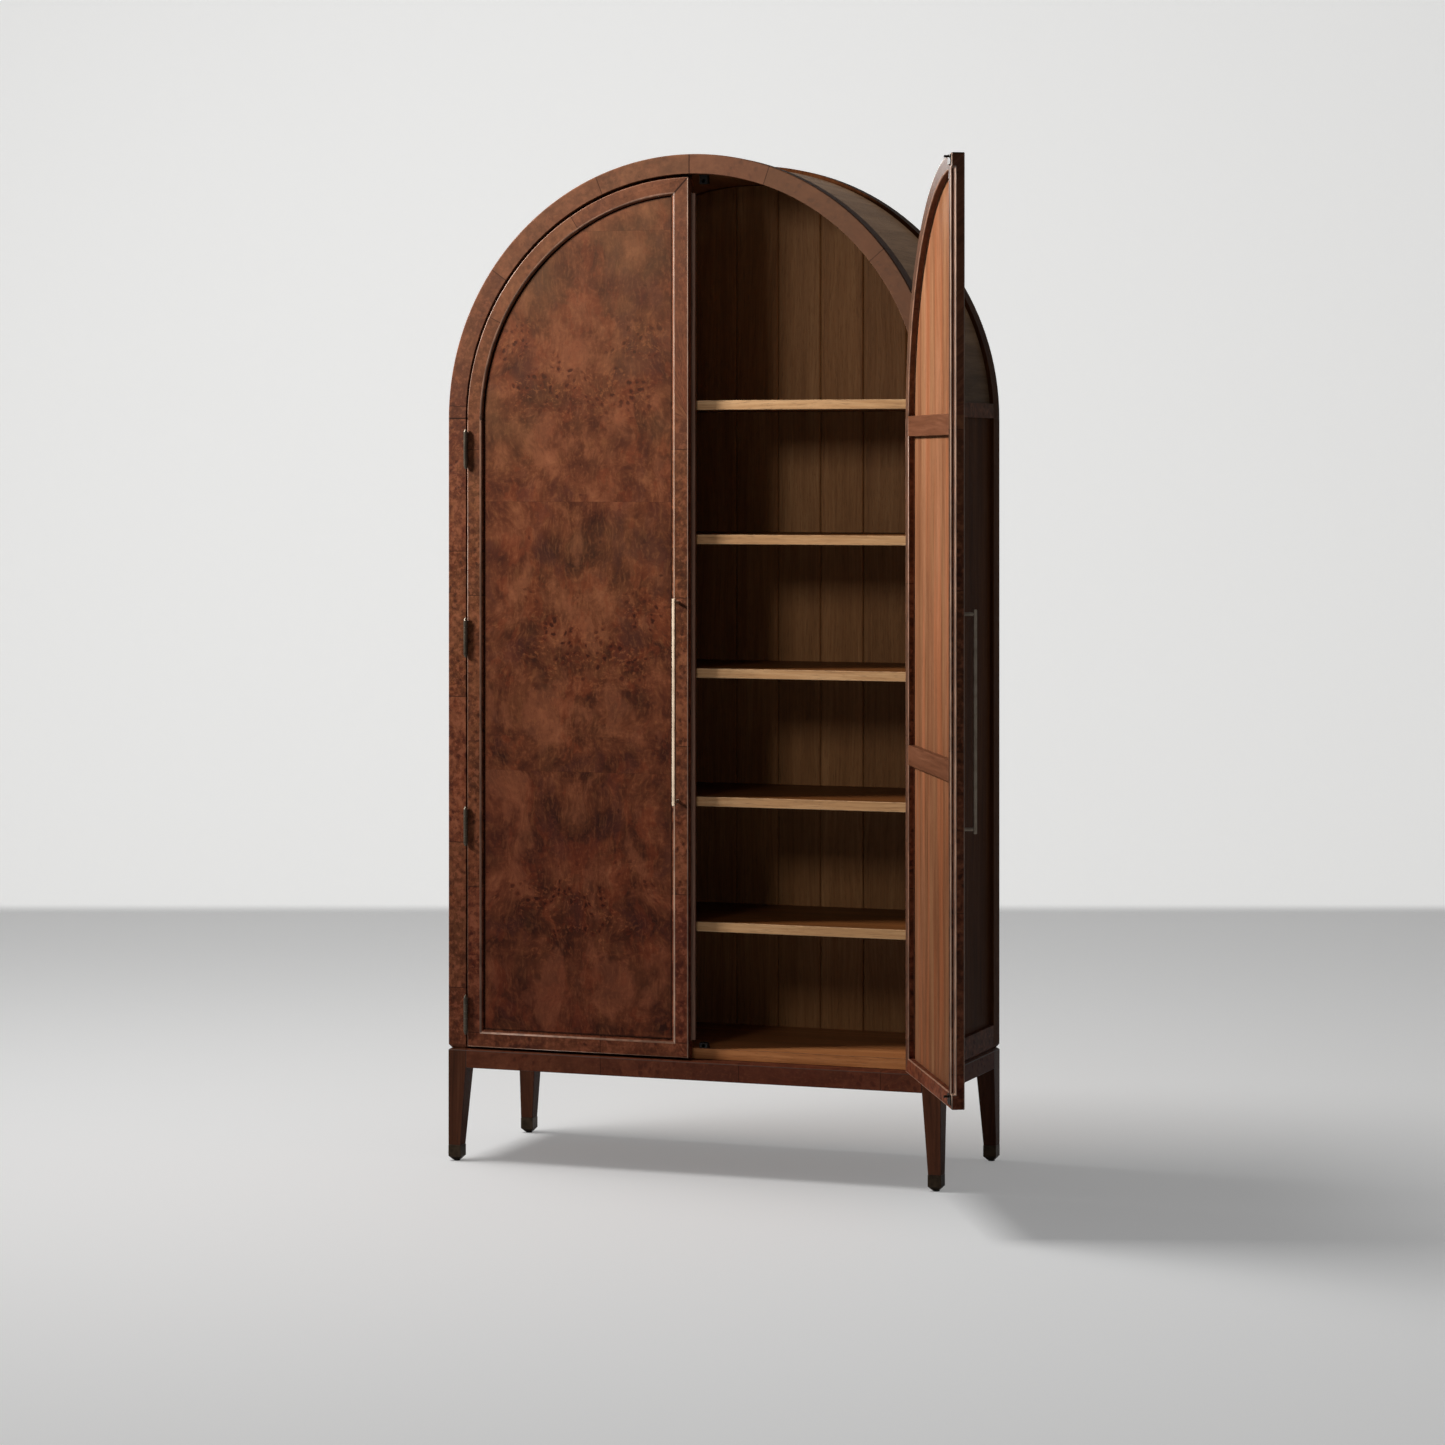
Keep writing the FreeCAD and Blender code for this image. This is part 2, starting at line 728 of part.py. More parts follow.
def door_regions():
    """Prisms that part the frame into its members along the mitres."""
    y0 = front_y - overrun
    y1 = door_inner_y + overrun
    w = door_frame_width
    left = -door_radius
    right = door_meeting_x
    inner_top = door_corner(w)
    outer_top = door_corner(0)
    slope = (outer_top[1] - inner_top[1]) / w
    past_top = (outer_top[0] + overrun, outer_top[1] + overrun * slope)
    low_left = (left - overrun, door_bottom - overrun)
    low_right = (right + overrun, door_bottom - overrun)
    in_left = (left + w, door_bottom + w)
    in_right = (right - w, door_bottom + w)
    hinge = along_y([low_left, in_left, (left + w, door_spring_z), (left - overrun, door_spring_z)], y0, y1)
    meeting = along_y([low_right, in_right, inner_top, past_top], y0, y1)
    bottom = along_y([low_left, in_left, in_right, low_right], y0, y1)
    arch = box(left - overrun, right + overrun, y0, y1, door_spring_z, cabinet_height).cut(meeting)
    return hinge, meeting, bottom, arch


def door_frame():
    """All four members in one, moulded on the outside and grooved for the panel."""
    outer = Part.makeLoft([door_outline(door_arris, front_y),
                           door_outline(0, front_y + door_arris),
                           door_outline(0, door_inner_y)], True, True)
    moulding = Part.makeLoft([door_outline(door_face_width, front_y),
                              door_outline(door_frame_width, door_panel_front_y)], True, True)
    groove_inset = door_face_width - door_panel_tongue - door_panel_clearance
    groove = door_slab(groove_inset, door_panel_front_y - door_panel_clearance,
                       door_panel_back_y + door_panel_clearance)
    behind = door_slab(door_face_width, door_panel_back_y, door_inner_y + overrun)
    return cut_all(outer, [moulding, groove, behind])


def lip_strip(clearance, y_extra):
    """Strip let into the back of the left meeting stile, which reaches past its edge."""
    y0 = door_inner_y - lip_thickness - clearance
    return box(door_meeting_x - lip_seat_width - clearance, door_meeting_x + lip_reach,
               y0, door_inner_y + y_extra,
               door_bottom + lip_bottom_inset - clearance, door_top_z - lip_top_inset + clearance)


def edge_rebate():
    """Rebate in the right door's meeting edge that clears the lip, in left-door places."""
    return box(door_meeting_x - door_rebate_width, door_meeting_x + overrun,
               door_inner_y - door_rebate_depth, door_inner_y + overrun,
               door_bottom + door_rebate_bottom_inset, door_top_z - door_rebate_top_inset)


def post_stud(z, clearance):
    start = Vector(pull_x, front_y, z)
    return rod(post_stud_diameter / 2 + clearance, start, inward, post_stud_length + clearance)


hinge_region, meeting_region, bottom_region, arch_region = door_regions()
frame = door_frame()
door_hinge_stile = cut_all(frame.common(hinge_region), door_screw_holes)
post_holes = [post_stud(z, post_stud_clearance) for z in post_heights]
door_meeting_stile = cut_all(frame.common(meeting_region), post_holes)
door_bottom_rail = frame.common(bottom_region)
door_arch_rail = frame.common(arch_region)

panel_inset = door_face_width - door_panel_tongue
door_panel = door_slab(panel_inset, door_panel_front_y, door_panel_back_y)

door_inside = door_slab(door_face_width, door_panel_back_y, door_inner_y)
cross_rail_low = (door_bottom + spring_z - cross_rail_height) / 2 - cross_rail_height / 2


def cross_rail(z0):
    rail = box(-door_radius, door_meeting_x, door_panel_back_y, door_inner_y, z0, z0 + cross_rail_height)
    return rail.common(door_inside)


cross_rails = Part.makeCompound([cross_rail(cross_rail_low), cross_rail(spring_z - cross_rail_height)])


def pull():
    half = pull_length / 2
    bar_y = front_y - pull_projection
    bar = box(pull_x - pull_bar_width / 2, pull_x + pull_bar_width / 2, bar_y, bar_y + pull_bar_depth,
              pull_height - half, pull_height + half)
    bar = bar.makeChamfer(pull_edge_chamfer, bar.Edges)
    pieces = [bar]
    for z in post_heights:
        start = Vector(pull_x, bar_y + pull_bar_depth, z)
        post = rod(post_diameter / 2, start, inward, pull_projection - pull_bar_depth)
        pieces.append(post.fuse(post_stud(z, 0)))
    return Part.makeCompound(pieces)


def strike(low_z, stud_z):
    """Plate on the inside of the door with a stud that enters the catch."""
    plate = box(strike_outer_x - strike_width, strike_outer_x, door_inner_y, door_inner_y + strike_thickness,
                low_z, low_z + strike_height)
    stud_start = Vector(catch_centre_x, door_inner_y, stud_z)
    stud = rod(strike_stud_diameter / 2, stud_start, inward, strike_thickness + strike_stud_length)
    return plate.fuse(stud)


strikes = Part.makeCompound([strike(strike_low_z, low_stud_z), strike(strike_high_z, high_stud_z)])
door_pull = pull()

keep("left_door_hinge_stile", door_hinge_stile)
keep("left_door_meeting_stile", door_meeting_stile.cut(lip_strip(lip_seat_clearance, overrun)))
keep("left_door_bottom_rail", door_bottom_rail)
keep("left_door_arch_rail", door_arch_rail)
keep("left_door_cross_rails", cross_rails)
keep("left_door_panel", door_panel)
keep("left_door_astragal", lip_strip(0, 0))
keep("left_door_pull", door_pull)
keep("left_door_strikes", strikes)

keep("right_door_hinge_stile", opened(door_hinge_stile))
keep("right_door_meeting_stile", opened(door_meeting_stile.cut(edge_rebate())))
keep("right_door_bottom_rail", opened(door_bottom_rail))
keep("right_door_arch_rail", opened(door_arch_rail))
keep("right_door_cross_rails", opened(cross_rails))
keep("right_door_panel", opened(door_panel))
keep("right_door_pull", opened(door_pull))
keep("right_door_strikes", opened(strikes))


# One file for each sub-part
os.makedirs("parts", exist_ok=True)
for name, shape in nodes.items():
    shape.exportStep("parts/%s.step" % name)
    print(name, "solids", len(shape.Solids), "volume", round(shape.Volume), "valid", shape.isValid())
print("nodes", len(nodes))
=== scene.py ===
import json
from math import hypot, pi, radians, sqrt

import bmesh
import bpy
from mathutils import Euler, Matrix, Vector

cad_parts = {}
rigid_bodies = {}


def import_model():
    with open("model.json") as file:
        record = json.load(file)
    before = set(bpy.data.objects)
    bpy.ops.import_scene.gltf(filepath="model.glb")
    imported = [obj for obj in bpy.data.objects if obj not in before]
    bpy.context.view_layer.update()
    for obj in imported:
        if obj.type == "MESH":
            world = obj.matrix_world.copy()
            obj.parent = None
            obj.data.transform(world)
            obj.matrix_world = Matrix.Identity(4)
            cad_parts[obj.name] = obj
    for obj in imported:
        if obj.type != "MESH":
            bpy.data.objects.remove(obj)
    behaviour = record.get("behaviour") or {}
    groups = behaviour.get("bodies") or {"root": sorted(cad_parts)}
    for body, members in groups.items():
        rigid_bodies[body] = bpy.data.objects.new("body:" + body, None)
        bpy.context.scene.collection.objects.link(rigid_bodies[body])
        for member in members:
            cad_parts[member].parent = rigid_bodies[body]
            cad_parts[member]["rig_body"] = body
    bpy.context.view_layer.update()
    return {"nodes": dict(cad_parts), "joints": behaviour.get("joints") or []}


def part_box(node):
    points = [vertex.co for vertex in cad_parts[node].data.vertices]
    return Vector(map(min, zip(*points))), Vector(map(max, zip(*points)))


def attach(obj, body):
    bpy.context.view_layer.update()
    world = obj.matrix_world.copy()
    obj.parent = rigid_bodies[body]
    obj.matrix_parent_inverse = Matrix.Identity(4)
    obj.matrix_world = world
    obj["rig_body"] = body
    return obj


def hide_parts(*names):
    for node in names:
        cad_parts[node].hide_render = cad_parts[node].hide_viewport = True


# Looks of the arched cabinet. Metres, in the row frame: X across the front, -Y the front, +Z up.

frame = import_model()
nodes = frame["nodes"]
joints = {joint["name"]: joint for joint in frame["joints"]}
scene = bpy.context.scene

# Places worked out from the frame
case_low, case_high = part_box("front_stile_left")
arch_low, arch_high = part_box("front_arch_left")
case_spring_z = case_high.z
case_radius = arch_high.z - arch_low.z
door_low, door_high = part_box("left_door_hinge_stile")
door_spring_z = door_high.z
panel_low, panel_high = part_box("left_door_panel")
frame_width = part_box("left_door_bottom_rail")[1].z - door_low.z
front_y = case_low.y
panel_mid_y = (panel_low.y + panel_high.y) / 2
panel_centre_x = (door_low.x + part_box("left_door_meeting_stile")[1].x) / 2
panel_bottom_z = door_low.z + frame_width
door_radius = -door_low.x
meeting_gap = -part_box("left_door_meeting_stile")[1].x
opening_radius = door_radius - frame_width
opening_inner_x = meeting_gap + frame_width
mitre_z = door_spring_z + sqrt(opening_radius ** 2 - opening_inner_x ** 2)
mitre_top_z = door_spring_z + sqrt(door_radius ** 2 - meeting_gap ** 2)
mitre_slope = (mitre_top_z - mitre_z) / frame_width
moulding_width = 0.0075
moulding_recess = panel_low.y - front_y
moulding_slope = -moulding_width / hypot(moulding_width, moulding_recess)

# The right door is stored open. Its finish is laid out on the closed door and turned with it.
right_hinge = joints["right_door_hinge"]
hinge_place = Vector((right_hinge["pos_m"][0], right_hinge["pos_m"][1], 0))
open_angle = -radians(right_hinge["range_deg"][0])
right_door_turn = (Matrix.Translation(hinge_place) @ Matrix.Rotation(open_angle, 4, "Z")
                   @ Matrix.Translation(-hinge_place))


# Shader building blocks

grain_depth = 0.0003


class Shader:
    """Builds the nodes of one material."""

    def __init__(self, name):
        self.material = bpy.data.materials.new(name)
        self.material.use_nodes = True
        self.tree = self.material.node_tree
        self.surface = self.tree.nodes["Principled BSDF"]
        self.place = self.add("ShaderNodeTexCoord").outputs["Object"]

    def add(self, kind, inputs=(), **settings):
        node = self.tree.nodes.new(kind)
        for key, value in settings.items():
            setattr(node, key, value)
        for key, value in dict(inputs).items():
            self.feed(node.inputs[key], value)
        return node

    def feed(self, socket, value):
        if isinstance(value, bpy.types.NodeSocket):
            self.tree.links.new(value, socket)
        else:
            socket.default_value = value

    def math(self, operation, *values, clamp=False):
        node = self.add("ShaderNodeMath", dict(enumerate(values)), operation=operation, use_clamp=clamp)
        return node.outputs[0]

    def vector(self, operation, *values):
        node = self.add("ShaderNodeVectorMath", operation=operation)
        for index, value in enumerate(values):
            socket = node.inputs["Scale"] if operation == "SCALE" and index == 1 else node.inputs[index]
            self.feed(socket, value)
        return node.outputs["Value"] if operation == "LENGTH" else node.outputs["Vector"]

    def split(self, vector):
        return self.add("ShaderNodeSeparateXYZ", {0: vector}).outputs

    def join(self, x, y, z):
        return self.add("ShaderNodeCombineXYZ", {0: x, 1: y, 2: z}).outputs[0]

    def noise(self, place, scale, detail=2.0, roughness=0.5):
        inputs = {"Vector": place, "Scale": scale, "Detail": detail, "Roughness": roughness}
        return self.add("ShaderNodeTexNoise", inputs).outputs

    def cells(self, place, scale):
        return self.add("ShaderNodeTexVoronoi", {"Vector": place, "Scale": scale}).outputs

    def step(self, value, low, high, start=0.0, end=1.0):
        """Smooth step from start at low to end at high."""
        inputs = {"Value": value, "From Min": low, "From Max": high, "To Min": start, "To Max": end}
        return self.add("ShaderNodeMapRange", inputs, interpolation_type="SMOOTHSTEP").outputs[0]

    def key(self, number):
        """Random value and colour that stay the same for the same whole number."""
        return self.add("ShaderNodeTexWhiteNoise", {"W": number}, noise_dimensions="1D").outputs

    def ramp(self, value, stops):
        node = self.add("ShaderNodeValToRGB", {0: value})
        band = node.color_ramp
        while len(band.elements) < len(stops):
            band.elements.new(0.5)
        for element, (position, color) in zip(band.elements, stops):
            element.position = position
            element.color = screen_color(color)
        return node.outputs[0]

    def mix(self, share, first, second, blend="MIX"):
        node = self.add("ShaderNodeMix", data_type="RGBA", blend_type=blend)
        for socket, value in ((node.inputs[0], share), (node.inputs[6], first), (node.inputs[7], second)):
            self.feed(socket, screen_color(value))
        return node.outputs[2]

    def finish(self, color, roughness, height=None, depth=grain_depth, **constants):
        """Feed the surface and return the material. Constants are named after the surface's own inputs."""
        self.feed(self.surface.inputs["Base Color"], screen_color(color))
        self.feed(self.surface.inputs["Roughness"], roughness)
        if height is not None:
            bump = self.add("ShaderNodeBump", {"Height": height, "Distance": depth, "Strength": 1.0})
            self.feed(self.surface.inputs["Normal"], bump.outputs[0])
        for key, value in constants.items():
            self.feed(self.surface.inputs[key.replace("_", " ")], value)
        return self.material


def srgb(color):
    """Scene-linear values of a colour given as 0 to 255, as it shows on a screen."""
    shares = [value / 255 for value in color]
    return tuple(v / 12.92 if v <= 0.04045 else ((v + 0.055) / 1.055) ** 2.4 for v in shares)


def screen_color(value):
    """What a colour socket takes for a colour given as 0 to 255. Another socket is passed on as it is."""
    return (*srgb(value), 1) if isinstance(value, tuple) else value


# Burl veneer

lacquer_shine = 0.07
leaf_height = 0.570
leaf_start_z = 0.267
strip_leaf_length = 0.31

BURL_TONES = (
    (0.20, (44, 20, 12)),
    (0.36, (68, 34, 19)),
    (0.50, (90, 49, 29)),
    (0.64, (111, 65, 42)),
    (0.82, (140, 89, 60)),
)


def warp(shader, place, scale, amount):
    """Places pushed about by a noise of the given scale."""
    push = shader.noise(place, scale, detail=1.0)["Color"]
    push = shader.vector("SCALE", shader.vector("SUBTRACT", push, (0.5, 0.5, 0.5)), amount)
    return shader.vector("ADD", place, push)


def patch(shader, color, value, low, high, share, tint):
    """Tint the colour where value passes from low to high."""
    cover = shader.math("MULTIPLY", shader.step(value, low, high), share)
    return shader.mix(cover, color, tint)


def burl(shader, place, zone, tone_shift=0.0):
    """Clouded burl figure with clusters of small dark eyes where zone is high.

    Returns its colour, roughness and height."""
    s = shader
    place = warp(s, place, 5.0, 0.09)
    place = warp(s, place, 21.0, 0.020)
    drawn = s.vector("MULTIPLY", place, (1.0, 0.55, 1.0))

    clouds = s.noise(place, 10.0, detail=4.0, roughness=0.60)["Fac"]
    flames = s.noise(drawn, 36.0, detail=3.0, roughness=0.55)["Fac"]
    mottle = s.noise(place, 130.0, detail=3.0, roughness=0.6)["Fac"]
    tone = s.math("MULTIPLY_ADD", clouds, 0.75, -0.25)
    tone = s.math("MULTIPLY_ADD", flames, 0.55, tone)
    tone = s.math("ADD", s.math("MULTIPLY_ADD", mottle, 0.20, tone), tone_shift)
    color = s.ramp(tone, BURL_TONES)

    hue_place = s.vector("ADD", drawn, (3.1, 1.7, 0.4))
    hue = s.noise(hue_place, 21.0, detail=4.0, roughness=0.6)["Fac"]
    color = patch(s, color, hue, 0.54, 0.60, 0.30, (110, 50, 27))
    color = patch(s, color, hue, 0.47, 0.38, 0.20, (104, 66, 40))
    depth_place = s.vector("ADD", drawn, (7.3, 2.9, 1.6))
    depth = s.noise(depth_place, 12.0, detail=4.0, roughness=0.6)["Fac"]
    color = patch(s, color, depth, 0.52, 0.65, 0.50, (60, 30, 26))
    color = patch(s, color, depth, 0.46, 0.36, 0.36, (134, 82, 56))

    fibre = s.noise(s.vector("MULTIPLY", place, (1.0, 0.22, 1.0)), 170.0, detail=2.0)["Fac"]
    color = patch(s, color, fibre, 0.54, 0.68, 0.14, (150, 97, 60))
    color = patch(s, color, fibre, 0.46, 0.32, 0.18, (46, 22, 13))
    fleck = s.math("MULTIPLY", s.step(mottle, 0.55, 0.62), s.math("MULTIPLY_ADD", zone, 0.75, 0.25))
    color = s.mix(s.math("MULTIPLY", fleck, 0.30), color, (150, 92, 56))

    eye_place = warp(s, warp(s, place, 130.0, 0.007), 420.0, 0.003)
    eye_cells = s.cells(eye_place, 68.0)
    chosen = s.math("MULTIPLY", s.step(s.split(eye_cells["Color"])[0], 0.38, 0.44), zone)
    core = s.math("MULTIPLY", s.step(eye_cells["Distance"], 0.40, 0.24), chosen)
    halo = s.math("MULTIPLY", s.step(eye_cells["Distance"], 0.72, 0.34), chosen)
    color = s.mix(s.math("MULTIPLY", halo, 0.50), color, (84, 34, 17))
    color = s.mix(s.math("MULTIPLY", core, 0.85), color, (42, 15, 7))

    lone_cells = s.cells(eye_place, 26.0)
    lone = s.math("MULTIPLY", s.step(lone_cells["Distance"], 0.11, 0.06),
                  s.step(s.split(lone_cells["Color"])[1], 0.64, 0.70))
    color = s.mix(s.math("MULTIPLY", lone, 0.65), color, (46, 17, 8))

    pore_place = s.vector("MULTIPLY", place, (1.0, 0.25, 1.0))
    pores = s.step(s.noise(pore_place, 900.0, detail=1.0)["Fac"], 0.60, 0.72)
    color = s.mix(s.math("MULTIPLY", pores, 0.22), color, (40, 18, 12))
    eyes = s.math("MAXIMUM", core, lone)
    roughness = s.math("MULTIPLY_ADD", mottle, 0.10, s.math("MULTIPLY_ADD", eyes, 0.06, 0.48))
    height = s.math("MULTIPLY_ADD", pores, -0.12, s.math("MULTIPLY", clouds, 0.3))
    height = s.math("MULTIPLY_ADD", eyes, -0.30, height)
    return color, roughness, height


def height_shade_and_sheen(shader, color, z):
    """Painted shade: darker and redder towards the floor. Painted sheen: greyer towards the crown."""
    color = shader.mix(shader.step(z, 1.45, 0.30), color, (236, 223, 229), "MULTIPLY")
    return shader.mix(shader.step(z, 1.35, 2.05, end=0.26), color, (94, 68, 51))


def leaf_index(shader, along, length):
    """Number of the veneer leaf at a distance along the piece, and the share of it passed."""
    turns = shader.math("DIVIDE", along, length)
    return shader.math("FLOOR", turns), shader.math("FRACT", turns)


def seam_line(shader, share, width_share):
    """1 within a thin joint at either end of a leaf."""
    edge = shader.math("ABSOLUTE", shader.math("SUBTRACT", share, 0.5))
    return shader.step(edge, 0.5 - width_share, 0.5 - width_share / 2)


def plain_figure(shader, place, tones, ring_scale=34.0):
    """Straight, slightly wandering grain along the first axis of place. Returns colour and height."""
    s = shader
    drift = s.noise(s.vector("MULTIPLY", place, (1.6, 7.0, 7.0)), 1.0, detail=2.0)["Color"]
    place = s.vector("ADD", place, s.vector("SCALE", s.vector("SUBTRACT", drift, (0.5, 0.5, 0.5)), 0.05))
    rings = s.noise(s.vector("MULTIPLY", place, (1.0, ring_scale, ring_scale)), 1.0, detail=3.0)["Fac"]
    lines = s.noise(s.vector("MULTIPLY", place, (6.0, 230.0, 230.0)), 1.0, detail=2.0)["Fac"]
    pore_place = s.vector("MULTIPLY", place, (28.0, 1300.0, 1300.0))
    pores = s.step(s.noise(pore_place, 1.0, detail=1.0)["Fac"], 0.60, 0.72)
    tone = s.math("MULTIPLY_ADD", lines, 0.45, s.math("MULTIPLY", rings, 0.55))
    color = s.ramp(tone, tones)
    dark = tuple(value * 0.55 for value in tones[0][1])
    color = s.mix(s.math("MULTIPLY", pores, 0.45), color, dark)
    height = s.math("MULTIPLY_ADD", pores, -0.5, s.math("MULTIPLY", lines, 0.5))
    return color, height


# Door panels

# colour of the painted shade in the corner where the panel meets its moulding
RIM_SHADE = (22, 8, 4)
SEAM_COLOR = (40, 18, 11)
rim_width = 0.0032
rim_dark_width = 0.0006
arc_centre_height = 0.185
arc_radius = 0.058
arc_flattening = 0.85
slice_step = 0.021
mirror_step = 0.013


def rim_shade_cover(shader, x, z, side):
    """Painted shade: 1 in the corner where the panel meets its moulding, 0 a little way in."""
    s = shader
    outward = s.math("MULTIPLY", x, side)
    above = s.math("MAXIMUM", s.math("SUBTRACT", z, door_spring_z), 0.0)
    from_arch = s.math("SUBTRACT", opening_radius, s.vector("LENGTH", s.join(outward, 0.0, above)))
    from_stile = s.math("SUBTRACT", outward, opening_inner_x)
    from_bottom = s.math("SUBTRACT", z, panel_bottom_z)
    nearest = s.math("MINIMUM", s.math("MINIMUM", from_arch, from_stile), from_bottom)
    return s.step(nearest, rim_width, rim_dark_width)


def eye_zone(shader, place, across, along):
    """1 where eyes crowd on a panel's leaf: in clusters within a band, and along an arc."""
    s = shader
    band = s.math("MULTIPLY", s.step(along, 0.13, 0.24), s.step(along, 0.43, 0.33))
    cluster = s.step(s.noise(place, 13.0, detail=2.0)["Fac"], 0.47, 0.58)
    arc_place = s.join(s.math("MULTIPLY", across, arc_flattening),
                       s.math("SUBTRACT", along, arc_centre_height), 0.0)
    arc_distance = s.math("ABSOLUTE", s.math("SUBTRACT", s.vector("LENGTH", arc_place), arc_radius))
    arc = s.math("MULTIPLY", s.step(arc_distance, 0.014, 0.006), s.step(along, 0.19, 0.21))
    return s.math("MAXIMUM", s.math("MULTIPLY", band, cluster), arc)


def panel_inside(shader, x, z, seed):
    """Plain veneer on a panel's rear face, with painted shade towards the floor. Returns colour and height.
    """
    s = shader
    inside_place = s.join(z, s.math("ADD", x, seed), 0.0)
    inside, height = plain_figure(s, inside_place, INSIDE_TONES, ring_scale=26.0)
    # painted shade towards the floor
    inside = s.mix(s.step(z, 1.6, 0.3, end=0.42), inside, (60, 26, 10))
    warmth_place = s.vector("MULTIPLY", s.place, (1.0, 1.0, 0.06))
    warmth = s.noise(warmth_place, 24.0, detail=3.0)["Fac"]
    inside = patch(s, inside, warmth, 0.50, 0.62, 0.28, (146, 82, 50))
    inside = patch(s, inside, warmth, 0.48, 0.36, 0.28, (136, 102, 72))
    return inside, height


def panel_material(name, centre_x, seed):
    """Door panel: book-matched burl leaves outside, plain straight-grained veneer inside."""
    s = Shader(name)
    x, y, z = s.split(s.place)
    from_centre = s.math("SUBTRACT", x, centre_x)
    across = s.math("ABSOLUTE", from_centre)
    leaf, share = leaf_index(s, s.math("SUBTRACT", z, leaf_start_z), leaf_height)
    side = s.step(from_centre, -0.05, 0.05, start=-1.0, end=1.0)
    slice_depth = s.math("MULTIPLY_ADD", leaf, slice_step, s.math("MULTIPLY_ADD", side, mirror_step, seed))
    along = s.math("MULTIPLY", share, leaf_height)
    place = s.join(across, along, slice_depth)
    zone = eye_zone(s, place, across, along)

    shimmer = s.math("SUBTRACT", s.noise(place, 17.0, detail=2.0)["Fac"], 0.5)
    shimmer = s.math("MULTIPLY", shimmer, side)
    leaf_tone = s.math("MULTIPLY_ADD", leaf, 0.028, -0.083)
    tone_shift = s.math("MULTIPLY_ADD", shimmer, 0.55, leaf_tone)
    color, roughness, height = burl(s, place, zone, tone_shift)
    drift_place = s.vector("ADD", s.place, (seed, 0.0, seed))
    drift = s.noise(drift_place, 3.2, detail=3.0, roughness=0.6)["Fac"]
    # olive patches only high on the panel: random tone and a painted sheen towards the top
    olive_sheen = s.math("MULTIPLY", s.step(drift, 0.44, 0.60), s.step(z, 1.05, 1.75, end=0.34))
    color = s.mix(olive_sheen, color, (92, 68, 44))
    color = patch(s, color, drift, 0.50, 0.38, 0.12, (112, 56, 38))
    # painted shade towards the floor and painted sheen towards the crown
    color = height_shade_and_sheen(s, color, z)
    seam = seam_line(s, share, 0.0008)
    color = s.mix(s.math("MULTIPLY", seam, 0.35), color, SEAM_COLOR)
    # painted shade along the panel's edge, where it meets the moulding
    rim_shade = rim_shade_cover(s, x, z, 1.0 if centre_x > 0 else -1.0)
    color = s.mix(s.math("MULTIPLY", rim_shade, 0.75), color, RIM_SHADE)

    inside, inside_height = panel_inside(s, x, z, seed)
    is_inside = s.math("GREATER_THAN", y, panel_mid_y)
    color = s.mix(is_inside, color, inside)
    height = s.math("MULTIPLY_ADD", is_inside, s.math("SUBTRACT", inside_height, height), height)
    return s.finish(color=color, roughness=roughness, height=height, Specular_IOR_Level=lacquer_shine)


# Frames of the doors and of the case, and other narrow members

STRIP_HAZE_AND_SHEEN = (98, 66, 48)
CASE_HAZE_AND_SHEEN = (84, 62, 49)
DARK_VEIL = (80, 45, 30)
RED_LEAF = (100, 44, 32)
BROWN_LEAF = (104, 74, 46)
# colour of the dark joints and of the painted shadow behind the door panels
JOINT_AND_SHADOW_COLOR = (30, 14, 8)
BACK_VEIL = (49, 43, 37)
strip_seam_share = 0.0040
mitre_half_width = 0.0032
spring_half_width = 0.0022
crown_half_width = 0.0020
lip_shadow_width = 0.0010
rear_face_depth = 0.0006
side_shift = 0.137


def strip_burl(shader, across, along, seed, tone_shift=0.0, eyes=1.0, haze_and_sheen=0.15, haze_and_sheen_color=STRIP_HAZE_AND_SHEEN,
               joint_and_shadow_lines=None, back=None):
    """Burl in leaves laid end to end along a narrow member.

    The haze hides the figure, and on the frames it is also a painted sheen. A further line marks joints and
    a painted shadow; back makes the rear face darker and greyer."""
    s = shader
    leaf, share = leaf_index(s, s.math("ADD", along, seed), strip_leaf_length)
    key = s.key(s.math("ADD", leaf, seed * 7.0))
    place = s.vector("ADD", s.join(across, along, 0.0), s.vector("SCALE", key["Color"], 3.0))
    crowd = s.math("MULTIPLY_ADD", eyes, 0.13, s.noise(place, 7.0, detail=2.0)["Fac"])
    zone = s.step(crowd, 0.50, 0.64)
    shift = s.math("MULTIPLY_ADD", key["Value"], 0.16, tone_shift - 0.05)
    color, roughness, height = burl(s, place, zone, shift)
    leaf_tint = s.mix(s.split(key["Color"])[1], RED_LEAF, BROWN_LEAF)
    color = s.mix(0.20, color, leaf_tint)
    color = s.mix(haze_and_sheen, color, haze_and_sheen_color)
    spots = s.noise(place, 80.0, detail=3.0, roughness=0.6)["Fac"]
    bare = s.math("SUBTRACT", 1.0, s.math("MULTIPLY", haze_and_sheen, 1.8, clamp=True))
    color = patch(s, color, spots, 0.53, 0.62, s.math("MULTIPLY", bare, 0.42), (146, 90, 64))
    color = patch(s, color, spots, 0.47, 0.38, s.math("MULTIPLY", bare, 0.50), (48, 20, 15))
    # painted shade towards the floor and painted sheen towards the crown
    color = height_shade_and_sheen(s, color, s.split(s.place)[2])
    if back is not None:
        # the rear face made darker and greyer
        color = s.mix(s.math("MULTIPLY", back, 0.60), color, BACK_VEIL)
    seam = seam_line(s, share, strip_seam_share)
    color = s.mix(s.math("MULTIPLY", seam, 0.65), color, JOINT_AND_SHADOW_COLOR)
    if joint_and_shadow_lines is not None:
        # dark joints, and on the doors the painted shadow on the frame's inner edge
        color = s.mix(s.math("MULTIPLY", joint_and_shadow_lines, 0.85), color, JOINT_AND_SHADOW_COLOR)
    return s.finish(color=color, roughness=roughness, height=height, Specular_IOR_Level=lacquer_shine)


